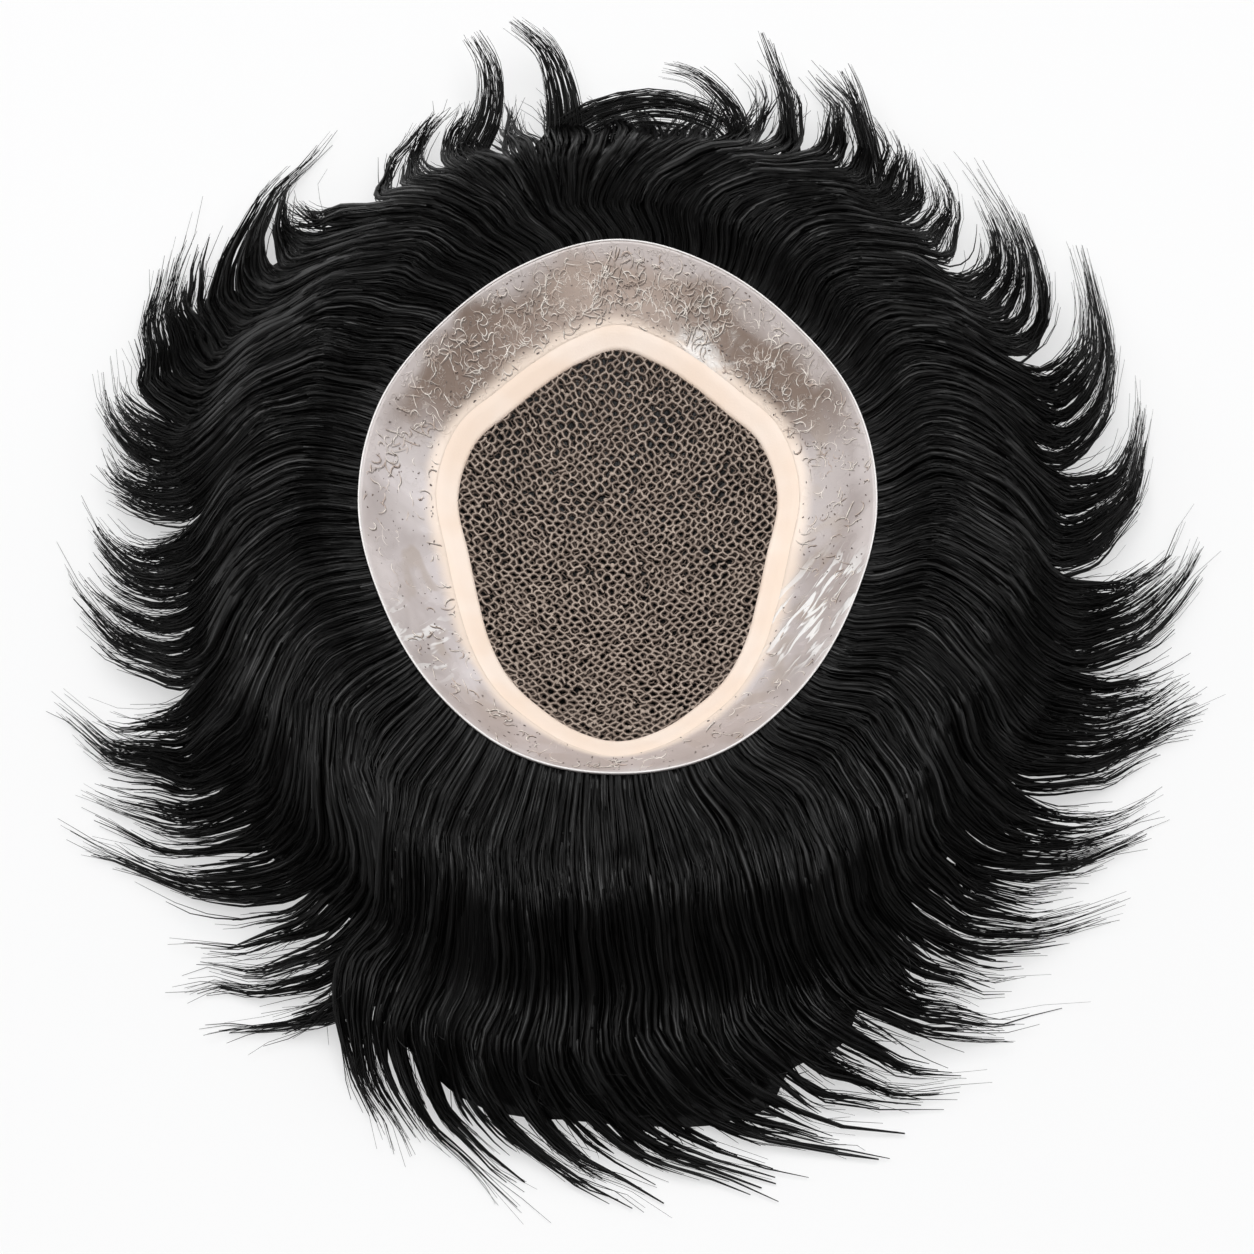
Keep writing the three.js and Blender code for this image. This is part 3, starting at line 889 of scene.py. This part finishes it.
def soft_light(name, place, size, power):
    """A square white light that faces the object."""
    data = bpy.data.lights.new(name, "AREA")
    data.shape, data.size, data.size_y = "RECTANGLE", size, size
    data.energy = power
    light = linked(name, data)
    light.location = place
    light.rotation_euler = (-Vector(place)).to_track_quat("-Z", "Y").to_euler()


def set_stage():
    """A white room with a plain pale floor and three soft lights."""
    bpy.context.scene.view_settings.view_transform = "Standard"
    world = bpy.data.worlds.new("studio")
    world.use_nodes = True
    background = world.node_tree.nodes["Background"]
    background.inputs["Color"].default_value = WHITE
    background.inputs["Strength"].default_value = WORLD_STRENGTH
    bpy.context.scene.world = world
    mesh = bpy.data.meshes.new("floor")
    corners = [(x * FLOOR_HALF, y * FLOOR_HALF, 0) for x, y in ((-1, -1), (1, -1), (1, 1), (-1, 1))]
    mesh.from_pydata(corners, [], [(0, 1, 2, 3)])
    mesh.materials.append(floor_finish())
    linked("floor", mesh)
    for name, (place, size, power) in LIGHTS.items():
        soft_light(name, place, size, power)


# The base

# How many rows the base's meshes have round and across, and how far the band laps over the film.
BASE_STATIONS = 360
FILM_STEPS, BAND_STEPS = 22, 14
BAND_OVER_FILM = 1.3


def base_rows(inner, outer, steps, height_of, wall, bearings):
    """Rows of a wall of the base: across its upper face, then back across its lower face."""
    shares = np.linspace(0, 1, steps)
    upper, lower = [], []
    for share in shares:
        radius = inner + (outer - inner) * share
        height = base_height(bearings, radius) - base_drop(wall, bearings, radius)
        upper.append(polar(bearings, radius, height_of(share, bearings, radius)))
        lower.insert(0, polar(bearings, radius, height))
    around = np.concatenate([shares, shares[::-1]])
    return np.array(upper + lower), np.repeat(around[:, None], len(bearings), 1)


def make_film(finish):
    """The clear skin, with low swells, and creases at the front right."""
    bearings = np.linspace(0, 360, BASE_STATIONS, endpoint=False)
    inner = radius_of(BAND, bearings) + PIECE_GAP / 2
    outer = radius_of(RIM, bearings)

    def height_of(share, bearing, radius):
        x, y = radius * np.sin(np.radians(bearing)), radius * np.cos(np.radians(bearing))
        middle = np.sin(math.pi * share)
        swell = 0.35 * soft_noise(x, y, 16, 3)
        crease = smooth_step(bearing, 96, 112) * (1 - smooth_step(bearing, 138, 156))
        ridges = np.abs(soft_noise(x * 1.6 + y * 0.5, y * 0.6 - x * 0.3, 7, 8))
        left = smooth_step(bearing, 225, 240) * (1 - smooth_step(bearing, 262, 285))
        fold = (crease + 0.4 * left) * 0.8 * np.maximum(0, 0.5 - ridges)
        return base_height(bearing, radius) + middle * (swell + fold)

    rows, across = base_rows(inner, outer, FILM_STEPS, height_of, BASE_WALL, bearings)
    return finished(ring_mesh("skin_film", rows, {"across": across}), "skin", finish,
                    "skin_perimeter")


def make_band(finish):
    """The cream band: crisp at the lace, and thinning out over the skin's edge."""
    bearings = np.linspace(0, 360, BASE_STATIONS, endpoint=False)
    inner = radius_of(LACE, bearings) + PIECE_GAP / 2
    outer = radius_of(BAND, bearings) + BAND_OVER_FILM

    def height_of(share, bearing, radius):
        crown = smooth_step(share, 0, 0.08) * (1 - smooth_step(share, 0.55, 1.0) * 0.9)
        dip = 0.16 * smooth_step(share, 0.8, 1.0)
        return base_height(bearing, radius) + BAND_RISE * crown - dip

    rows, across = base_rows(inner, outer, BAND_STEPS, height_of, BASE_WALL * 0.8, bearings)
    return finished(ring_mesh("cream_band", rows, {"across": across}), "band", finish,
                    "edge_band")


def make_rim_bead(tree, finish):
    """The thin bright bead that the film's edge ends in."""
    bearings = np.linspace(0, 360, BASE_STATIONS, endpoint=False)
    radius = radius_of(RIM, bearings) - 0.1
    points = polar(bearings, radius, base_height(bearings, radius) - 0.05)
    index = np.arange(len(bearings))
    edges = np.stack([index, np.roll(index, -1)], axis=-1)
    even = np.ones(len(bearings))
    piece = grown("rim_bead", points, edges, {"thickness": even, "tone": even * 0}, tree, {
        "Sides": 8, "Thickness": RIM_BEAD_SIZE * MM, "Flatness": 1.0, "Hairs Across": 1.0,
        "Unevenness": 0.0, "Seed": 1, "Material": finish})
    return finished(piece, "skin", finish)


# The film's squiggles: how far a step goes, how many points each has, and how many there are at
# the back and everywhere else. A dark line of painted shade lies beside and below each, as far off
# as is said here.
SQUIGGLE_STEP = 0.98
SQUIGGLE_STEPS = 7
DENSE_SQUIGGLES, SPARSE_SQUIGGLES = 690, 220
SHADE_RIGHT, SHADE_DOWN = 0.24, 0.36
DENSE_DOTS, SPARSE_DOTS = 420, 300


def squiggle_paths(count, seed, spread):
    """Random curls on the film, as rows of places seen from above. spread picks bearings."""
    rng = np.random.default_rng(seed)
    bearing = spread(rng, count)
    share = rng.beta(1.5, 1.3, count)
    inner, outer = radius_of(BAND, bearing) + 1.5, radius_of(RIM, bearing) - 1.4
    radius = inner + (outer - inner) * share
    heading = rng.uniform(0, 2 * math.pi, count)
    kind = rng.choice(4, count, p=[0.34, 0.24, 0.22, 0.2])
    curl = rng.uniform(0.22, 0.62, count) * rng.choice([-1, 1], count)
    length = rng.uniform(0.45, 1.2, count)
    x, y = radius * np.sin(np.radians(bearing)), radius * np.cos(np.radians(bearing))
    places = [np.stack([x, y], -1)]
    for step in range(SQUIGGLE_STEPS - 1):
        along = step / (SQUIGGLE_STEPS - 2)
        turning = np.select(
            [kind == 0, kind == 1, kind == 2],
            [curl, curl * np.where(along < 0.5, 1, -1), curl * (0.3 + 1.6 * along)], curl * 0.12)
        heading = heading + turning
        x = x + SQUIGGLE_STEP * length * np.cos(heading)
        y = y + SQUIGGLE_STEP * length * np.sin(heading)
        places.append(np.stack([x, y], -1))
    places = np.stack(places, 1)
    reach = np.hypot(places[..., 0], places[..., 1])
    around = np.degrees(np.arctan2(places[..., 0], places[..., 1])) % 360
    fits = (reach < radius_of(RIM, around) - 0.9) & (reach > radius_of(BAND, around) + 0.8)
    return places[fits.all(1)]


def make_squiggles(tree, finish):
    """Moulded curls in the film, each a pale ridge, its paleness partly painted highlight, with a
    dark line of painted shade at its foot.
    """
    dense = squiggle_paths(DENSE_SQUIGGLES, 21, lambda rng, n: rng.normal(0, 40, n) % 360)
    sparse = squiggle_paths(SPARSE_SQUIGGLES, 22, lambda rng, n: rng.uniform(60, 300, n))
    places = np.concatenate([dense, sparse])
    rng = np.random.default_rng(23)
    thick = rng.uniform(0.7, 1.15, len(places))[:, None]
    ends = np.sin(math.pi * np.linspace(0.06, 0.94, SQUIGGLE_STEPS)) ** 0.4
    pale = on_base(places[..., 0], places[..., 1], 0.1)
    # Painted shade: a dark line beside and below each pale ridge.
    dark = on_base(places[..., 0] + SHADE_RIGHT, places[..., 1] - SHADE_DOWN, 0.02)
    paths = np.concatenate([pale, dark])
    thickness = np.concatenate([thick * ends, 0.8 * thick * ends])
    tone = np.concatenate([np.zeros(len(pale)), np.full(len(dark), 0.8)])
    tone = np.repeat(tone[:, None], SQUIGGLE_STEPS, 1)
    piece = grown("film_squiggles", paths, run_edges(paths), {"thickness": thickness, "tone": tone},
                  tree, {"Sides": 3, "Thickness": SQUIGGLE_SIZE * MM, "Flatness": 0.8,
                         "Hairs Across": 1.0, "Unevenness": 0.15, "Seed": 2, "Material": finish})
    return finished(piece, "skin", finish)


def make_root_dots(tree, finish):
    """Dark dots where single hairs were set into the film."""
    rng = np.random.default_rng(31)
    bearing = np.concatenate([
        rng.normal(0, 50, DENSE_DOTS) % 360, rng.uniform(60, 300, SPARSE_DOTS)])
    share = rng.uniform(0.06, 0.93, len(bearing))
    inner, outer = radius_of(BAND, bearing), radius_of(RIM, bearing)
    radius = inner + (outer - inner) * share
    angle = np.radians(bearing)
    points = on_base(radius * np.sin(angle), radius * np.cos(angle), 0.04)
    size = rng.uniform(0.6, 1.3, len(bearing))
    piece = grown("film_root_dots", points, [], {
        "thickness": size, "tone": rng.uniform(0.8, 1.0, len(bearing))}, tree, {
        "Size": DOT_SIZE * MM, "Flatness": 0.5, "Stretch": 1.9, "Unevenness": 0.3, "Seed": 5,
        "Material": finish})
    return finished(piece, "skin", finish)


# The lace

# The net's openings: how far apart their middles are, how far they are scattered and warped, how
# far the net goes under the band, and the share of its threads that are left out.
LACE_PITCH = 2.8
LACE_SCATTER = 0.66
LACE_WARP = 1.0
LACE_OVERLAP = 2.4
LACE_OPENED = 0.05
KNOT_EVERY = 5


def in_lace(places, margin):
    """Which places, seen from above, are inside the lace's outline with a margin round it."""
    bearing = np.degrees(np.arctan2(places[:, 0], places[:, 1])) % 360
    return np.hypot(places[:, 0], places[:, 1]) < radius_of(LACE, bearing) + margin


def lace_seeds(pitch, seed):
    """The middles of the net's openings: rows on both diagonals, warped and scattered."""
    half = int(100 / pitch)
    count = np.arange(-half, half + 1)
    i, j = (grid.ravel() for grid in np.meshgrid(count, count, indexing="ij"))
    rng = np.random.default_rng(seed)
    even = np.stack([i + j, i - j], -1) * pitch / math.sqrt(2) + (0, LACE_SHIFT)
    warp = np.stack([soft_noise(even[:, 0], even[:, 1], 15, seed) for seed in (42, 43)], -1)
    seeds = even + LACE_WARP * warp + rng.uniform(-LACE_SCATTER, LACE_SCATTER, even.shape)
    return seeds[in_lace(seeds, 3 * LACE_PITCH)]


def cell_walls(seeds):
    """The walls between the cells round seeds: the places of their corners, and the two ends."""
    found, _, faces = delaunay_2d_cdt([Vector(seed) for seed in seeds], [], [], 0, 1e-4)[:3]
    faces = np.array(faces)
    a, b, c = (np.array([tuple(point) for point in found])[faces[:, k]] for k in range(3))
    (bx, by), (cx, cy) = (b - a).T, (c - a).T
    b_square, c_square = bx ** 2 + by ** 2, cx ** 2 + cy ** 2
    middle = np.stack([cy * b_square - by * c_square, bx * c_square - cx * b_square], -1)
    middle = a + middle / (2 * (bx * cy - by * cx))[:, None]
    corners = 0.55 * middle + 0.45 * (a + b + c) / 3
    sides = {}
    for index, face in enumerate(faces):
        for k in range(3):
            sides.setdefault(frozenset((face[k], face[k - 1])), []).append(index)
    return corners, np.array([pair for pair in sides.values() if len(pair) == 2])


def make_lace_back(threads, finish):
    """The finer, darker threads behind the net, which show through its openings."""
    corners, walls = cell_walls(lace_seeds(0.9 * LACE_PITCH, 45))
    walls = walls[in_lace(corners, LACE_OVERLAP)[walls].all(1)]
    places = corners[walls]
    rng = np.random.default_rng(46)
    paths = on_base(places[..., 0], places[..., 1], rng.uniform(-1.35, -1.0, places.shape[:2]))
    even = np.ones(places.shape[:2])
    piece = grown("lace_back", paths, run_edges(paths), {
        "thickness": even, "tone": rng.uniform(0, 0.1, even.shape)}, threads, {
        "Sides": 3, "Thickness": BACK_NET_SIZE * MM, "Flatness": 0.8, "Hairs Across": 0.9,
        "Unevenness": 0.25, "Seed": 8, "Material": finish})
    finished(piece, "lace", finish)


def make_lace(threads, beads, finish):
    """The net: knotted threads round openings of many sizes, thicker where they meet."""
    corners, walls = cell_walls(lace_seeds(LACE_PITCH, 41))
    rng = np.random.default_rng(44)
    near = in_lace(corners, LACE_OVERLAP)
    walls = walls[near[walls].all(1) & (rng.uniform(0, 1, len(walls)) > LACE_OPENED)]
    lift = rng.uniform(-0.62, -0.38, len(corners))
    thick = rng.uniform(0.95, 1.3, len(corners))
    tone = np.clip(rng.normal(0.6, 0.2, len(corners)), 0, 1)
    ends = corners[walls]
    span = ends[:, 1] - ends[:, 0]
    bow = rng.normal(0, 0.1, (len(walls), 1)) * np.stack([span[:, 1], -span[:, 0]], -1)
    places = np.stack([ends[:, 0], ends.mean(1) + bow, ends[:, 1]], 1)

    def along(values, middle):
        return np.stack([values[walls[:, 0]], values[walls].mean(1) * middle, values[walls[:, 1]]], 1)

    paths = on_base(places[..., 0], places[..., 1], along(lift, 0.8))
    piece = grown("lace_net", paths, run_edges(paths), {
        "thickness": along(thick, 0.76), "tone": along(tone, 1.15)}, threads, {
        "Sides": 4, "Thickness": NET_SIZE * MM, "Flatness": 0.62, "Hairs Across": 1.0,
        "Unevenness": 0.1, "Seed": 7, "Material": finish})
    finished(piece, "lace", finish, "lace_centre")

    tied = np.unique(walls)[::KNOT_EVERY]
    knots = grown("lace_knots", on_base(*corners[tied].T, -0.3), [], {
        "thickness": rng.uniform(0.7, 1.2, len(tied)), "tone": rng.uniform(0.5, 1, len(tied))},
        beads, {"Size": KNOT_SIZE * MM, "Flatness": 0.5, "Stretch": 1.2, "Unevenness": 0.15,
                "Seed": 9, "Material": finish})
    finished(knots, "lace", finish)


# The hair

def make_bed(finish):
    """The close bed of hair that backs the base and carries the loose locks past the rim."""
    roots = np.linspace(0, 360, BED_STATIONS, endpoint=False)
    rows, along = [], []
    for share in np.linspace(0, 1, BED_UNDER_ROWS):
        radius = radius_of(RIM, roots) * share
        drop = base_drop(BASE_WALL + PIECE_GAP, roots, np.maximum(radius, 0.5))
        rows.append(polar(roots, radius, base_height(roots, radius) - drop))
        along.append(-radius_of(RIM, roots) * (1 - share))
    loose = loose_from(roots)
    angle = np.radians(roots)
    parting = BED_PARTING * np.exp(-((roots - FLICK_PARTING) / BED_PARTING_WIDTH) ** 2)
    end = loose - BED_SHORT + 0.03 * uneven(roots, BED_TURNS, 84) - parting
    for share in np.linspace(0, 1, BED_OUTER_ROWS)[1:]:
        out = end * share
        bearing, radius = hair_plan(roots, out)
        ridge = 0.5 * np.sin(52 * angle + 3 * share) + 0.4 * np.sin(97 * angle - 5 * share)
        sink = BED_DEPTH * smooth_step(share, 0, 0.12) + 4.0 * smooth_step(share, 0.7, 1)
        height = hair_height(roots, out) - sink + ridge * min(1, share * 5)
        rows.append(polar(bearing, radius, height))
        along.append(out * HAIR_REACH)
    edge_bearing, edge_radius = hair_plan(roots, end)
    top = rows[-1][:, 2]
    for share in (0.35, 0.7, 1.0):
        height = top * (1 - share) ** 1.5 + FLOOR_CLEARANCE
        rows.append(polar(edge_bearing, edge_radius - BED_TUCK * share, height))
        along.append(end * HAIR_REACH + BED_TUCK * share)
    rows.append(polar(roots, np.zeros(len(roots)), np.full(len(roots), FLOOR_CLEARANCE)))
    along.append(along[-1])
    across = np.repeat((roots / 360 * BED_LINES)[None, :], len(rows), 0)
    tone = np.full(across.shape, BED_TONE)
    piece = ring_mesh("hair_bed", np.array(rows), {
        "across": across, "along": np.array(along), "tone": tone}, closed=False)
    return finished(piece, "hair", finish, "hair_body")


QUARTERS = {"back": 0.0, "right": 90.0, "front": 180.0, "left": 270.0}


def quarter_of(root):
    """The name of the quarter that each root bearing is in."""
    return np.array(list(QUARTERS))[(((np.asarray(root) + 45) % 360) // 90).astype(int)]


def by_quarter(root):
    """The rows of roots that are in each quarter, by the quarter's name."""
    where = quarter_of(root[:, 0] % 360)
    return {name: where == name for name in QUARTERS}


# How many of the loose hairs lie below the upper ones, and how deep, so that the edge has layers.
# The counts are of ribbons and of single hairs, and the points are those along each.
UNDER_SHARE = 0.36
UNDER_DEPTH = 9.0
LOCK_RIBBONS, WAVE_RIBBONS = 1800, 1000
SURFACE_STRANDS, FRINGE_STRANDS, STRAY_STRANDS = 2700, 3900, 200
RIBBON_POINTS, STRAND_POINTS = 14, 8


def under_layers(rng, lift):
    """Sinks some of the hairs to random depths below the hair's upper side."""
    sunk = rng.uniform(0, 1, lift.shape) < UNDER_SHARE
    return np.where(sunk, -UNDER_DEPTH * rng.uniform(0.1, 1, lift.shape), lift)


def make_locks(tree, finish):
    """The flame-shaped locks: narrow ribbons that draw together and end in points."""
    rng = np.random.default_rng(51)
    root = (np.arange(LOCK_RIBBONS)[:, None] + rng.uniform(0, 1, (LOCK_RIBBONS, 1))) * (
        360 / LOCK_RIBBONS)
    loose = loose_from(root)
    first = loose - rng.uniform(0.12, 0.34, root.shape)
    last = tip_share(root) * (1 - 0.2 * rng.uniform(0, 1, root.shape) ** 1.6)
    step = np.linspace(0, 1, RIBBON_POINTS)[None, :]
    out = first + (last - first) * step
    bearing = gathered(root, out, rng.uniform(0.78, 1.06, root.shape))
    sway = rng.normal(0, 0.4, root.shape) * step ** 2
    rising = smooth_step(step, 0, 0.2)
    lift = under_layers(rng, rng.uniform(-1.2, 0.9, root.shape)) - 1.8 * (1 - rising)
    paths = hair_points(bearing, out, lift, sway)
    closing = np.clip((out - loose) / (last - loose), 0, 1)
    thickness = rng.uniform(0.5, 1.0, root.shape) * (0.3 + 0.7 * rising) * (
        1 - 0.86 * closing ** 0.8)
    tone = np.repeat(rng.uniform(0, 1, root.shape), RIBBON_POINTS, 1)
    for name, kept in by_quarter(root).items():
        nodes = [f"lock_{i + 1:02d}" for i in range(36) if quarter_of(i * 10.0) == name]
        piece = grown("locks_" + name, paths[kept], run_edges(paths[kept]), {
            "thickness": thickness[kept], "tone": tone[kept],
            "along": out[kept] * HAIR_REACH}, tree, {
            "Sides": 4, "Thickness": MM, "Flatness": 0.45, "Hairs Across": 3.0,
            "Unevenness": 0.12, "Seed": 11, "Material": finish})
        finished(piece, "hair", finish, *nodes)


def make_waves(tree, finish):
    """Ribbons of hair that lie in waves between the rim and the flames."""
    rng = np.random.default_rng(61)
    shape = (WAVE_RIBBONS, 1)
    root = rng.uniform(0, 360, shape)
    loose = loose_from(root)
    early = rng.uniform(0, 1, shape) < 0.5
    first = np.where(early, 0.0, rng.uniform(0.08, 0.36, shape))
    last = np.where(early, rng.uniform(0.3, 0.55, shape), loose + rng.uniform(-0.05, 0.18, shape))
    step = np.linspace(0, 1, RIBBON_POINTS)[None, :]
    out = first + (last - first) * step
    drift = rng.normal(0, 0.7, shape) * step ** 1.5
    rising = np.where(early, 1.0, smooth_step(step, 0, 0.22))
    lift = rng.uniform(-0.5, 0.8, shape) - 1.8 * smooth_step(step, 0.7, 1) - 1.8 * (1 - rising)
    paths = hair_points(gathered(root, out) + drift, out, lift)
    width = rng.uniform(0.6, 1.5, shape) * (1 + 0.5 * smooth_step(out, 0, 0.5))
    thickness = width * (0.25 + 0.75 * rising) * (1 - 0.88 * step ** 3)
    tone = np.repeat(rng.uniform(0, 1, shape), RIBBON_POINTS, 1)
    piece = grown("hair_waves", paths, run_edges(paths), {
        "thickness": thickness, "tone": tone, "along": out * HAIR_REACH}, tree, {
        "Sides": 4, "Thickness": MM, "Flatness": 0.4, "Hairs Across": 4.0, "Unevenness": 0.15,
        "Seed": 12, "Material": finish})
    return finished(piece, "hair", finish)


def surface_strands(rng, count):
    """Single hairs that lie on the waves, from the rim or from between others."""
    shape = (count, 1)
    root = rng.uniform(0, 360, shape)
    from_rim = rng.uniform(0, 1, shape) < 0.6
    start = np.where(from_rim, 0.0, rng.uniform(0.08, 0.4, shape))
    length = rng.uniform(0.28, 0.5, shape)
    step = np.linspace(0, 1, STRAND_POINTS)[None, :]
    out = np.minimum(start + length * step, 0.9)
    drift = rng.normal(0, 1.0, shape) * step ** 1.4
    ends = np.where(from_rim, 1.0, smooth_step(step, 0, 0.2)) * (1 - smooth_step(step, 0.75, 1))
    lift = rng.uniform(0.2, 1.3, shape) * (0.3 + 0.7 * ends)
    thickness = rng.uniform(0.75, 1.2, shape) * (0.4 + 0.6 * ends)
    return root, gathered(root, out) + drift, out, lift, 0.0, thickness


def fringe_strands(rng, count):
    """Single hairs that leave the locks near their ends, feather them and cross the slits."""
    shape = (count, 1)
    root = rng.uniform(0, 360, shape)
    loose = loose_from(root)
    start = loose - rng.uniform(0.02, 0.16, shape)
    tip = tip_share(root) * rng.uniform(0.8, 1.04, shape)
    step = np.linspace(0, 1, STRAND_POINTS)[None, :]
    out = start + (tip - start) * step
    held = gathered(root, out, rng.uniform(0.7, 1.12, shape))
    sway = rng.normal(0, 1.1, shape) * step ** 2
    lift = under_layers(rng, rng.uniform(-1.2, 1.5, shape)) * (1 - 0.5 * step)
    thickness = rng.uniform(0.8, 1.3, shape) * (1 - 0.65 * step ** 3)
    return root, held, out, lift, sway, thickness


def stray_strands(rng, count):
    """A few long hairs that stray from their locks."""
    shape = (count, 1)
    root = rng.uniform(0, 360, shape)
    start = rng.uniform(0.4, 0.6, shape)
    tip = tip_share(root) * rng.uniform(0.92, 1.08, shape)
    step = np.linspace(0, 1, STRAND_POINTS)[None, :]
    out = start + (tip - start) * step
    sway = rng.normal(0, 1.8, shape) * step ** 1.8
    lift = rng.uniform(0, 4, shape) * np.sin(math.pi * step * 0.9)
    thickness = rng.uniform(0.6, 0.9, shape) * (1 - 0.6 * step ** 2)
    return root, gathered(root, out, 0.6), out, lift, sway, thickness


def make_strands(tree, finish):
    """Single hairs over the whole piece, one piece for each quarter."""
    rng = np.random.default_rng(71)
    kinds = [
        surface_strands(rng, SURFACE_STRANDS), fringe_strands(rng, FRINGE_STRANDS),
        stray_strands(rng, STRAY_STRANDS)]
    columns = []
    for root, held, out, lift, sway, thickness in kinds:
        paths = hair_points(held, out, lift, sway)
        shape = paths.shape[:2]
        tone = np.broadcast_to(rng.uniform(0, 1, root.shape), shape)
        columns.append((root, paths, np.broadcast_to(thickness, shape), tone,
                        np.broadcast_to(out, shape)))
    root, paths, thickness, tone, out = (np.concatenate(column) for column in zip(*columns))
    for name, kept in by_quarter(root).items():
        piece = grown("strands_" + name, paths[kept], run_edges(paths[kept]), {
            "thickness": thickness[kept], "tone": tone[kept],
            "along": out[kept] * HAIR_REACH}, tree, {
            "Sides": 3, "Thickness": HAIR_SIZE * MM, "Flatness": 1.0, "Hairs Across": 0.5,
            "Unevenness": 0.2, "Seed": 13, "Material": finish})
        finished(piece, "hair", finish)


# The wisps at the back: width and count of hairs, then places along each, seen from above.
WISPS = [
    (14.0, 90, [(-60, 143), (-57, 160), (-49, 180), (-49, 200), (-56, 215)]),
    (16.0, 110, [(-22, 152), (-20, 172), (-22, 192), (-28, 209), (-41, 222)]),
    (15.0, 120, [(-29, 156), (-15, 176), (9, 185), (30, 181), (42, 171), (41, 158)]),
    (16.0, 90, [(-24, 148), (-8, 164), (10, 171), (28, 168), (40, 157)]),
    (10.0, 66, [(47, 150), (46, 164), (43, 181), (30, 196), (16, 200)]),
    (9.0, 70, [(67, 144), (65, 166), (63, 188), (55, 216)]),
    (8.0, 50, [(98, 139), (95, 164), (90, 187), (85, 199)]),
]
WISP_POINTS = 12
WISP_HEIGHT = [19, 20, 23]


def smooth_run(points, steps):
    """More points along a run, on a smooth curve through it."""
    points = np.asarray(points, float)
    padded = np.concatenate([2 * points[:1] - points[1:2], points, 2 * points[-1:] - points[-2:-1]])
    place = np.linspace(0, len(points) - 1, (len(points) - 1) * steps + 1)
    before = np.minimum(place.astype(int), len(points) - 2)
    t = (place - before)[:, None]
    a, b, c, d = (padded[before + k] for k in range(4))
    bend = 2 * a - 5 * b + 4 * c - d
    return b + 0.5 * t * (c - a + t * (bend + t * (3 * (b - c) + d - a)))


def make_wisps(tree, finish):
    """A few longer wisps of hair that stand out from the outline at the back."""
    rng = np.random.default_rng(75)
    paths, thickness = [], []
    step = np.linspace(0, 1, WISP_POINTS)
    for width, count, run in WISPS:
        middle = smooth_run(run, 6)
        place = np.linspace(0, 1, len(middle))
        along = np.gradient(middle, axis=0)
        beside = np.stack([along[:, 1], -along[:, 0]], -1) / np.hypot(*along.T)[:, None]
        for _ in range(count):
            end = 1 - 0.5 * rng.uniform(0, 1) ** 1.3
            off = rng.uniform(-0.5, 0.5) * width
            spread = off * (1 - 0.72 * place ** 1.3) + rng.normal(0, 2.0) * place ** 2
            whole = middle + beside * spread[:, None]
            x, y = (np.interp(step * end, place, whole[:, k]) for k in (0, 1))
            height = np.interp(step * end, [0, 0.35, 1], WISP_HEIGHT) + rng.uniform(-2, 2)
            paths.append(np.stack([x, y, height], -1))
            thick = rng.choice([0.9, 1.6], p=[0.82, 0.18])
            thickness.append(thick * (1 - 0.65 * step ** 2))
    paths = np.array(paths)
    tone = np.repeat(rng.uniform(0, 1, (len(paths), 1)), WISP_POINTS, 1)
    piece = grown("hair_wisps", paths, run_edges(paths), {
        "thickness": np.array(thickness), "tone": tone,
        "along": np.broadcast_to(step * 60, tone.shape)}, tree, {
        "Sides": 4, "Thickness": HAIR_SIZE * MM, "Flatness": 0.8, "Hairs Across": 0.5,
        "Unevenness": 0.2, "Seed": 14, "Material": finish})
    return finished(piece, "hair", finish)


set_camera()
set_stage()
threads, beads = thread_tree(), bead_tree()
hair, lace, band, film, marks = (
    hair_finish(), lace_finish(), band_finish(), film_finish(), mark_finish())
make_film(film)
make_band(band)
make_rim_bead(threads, rim_finish())
make_squiggles(threads, marks)
make_root_dots(beads, marks)
make_lace_back(threads, lace)
make_lace(threads, beads, lace)
make_bed(hair)
make_locks(threads, hair)
make_waves(threads, hair)
make_strands(threads, hair)
make_wisps(threads, hair)
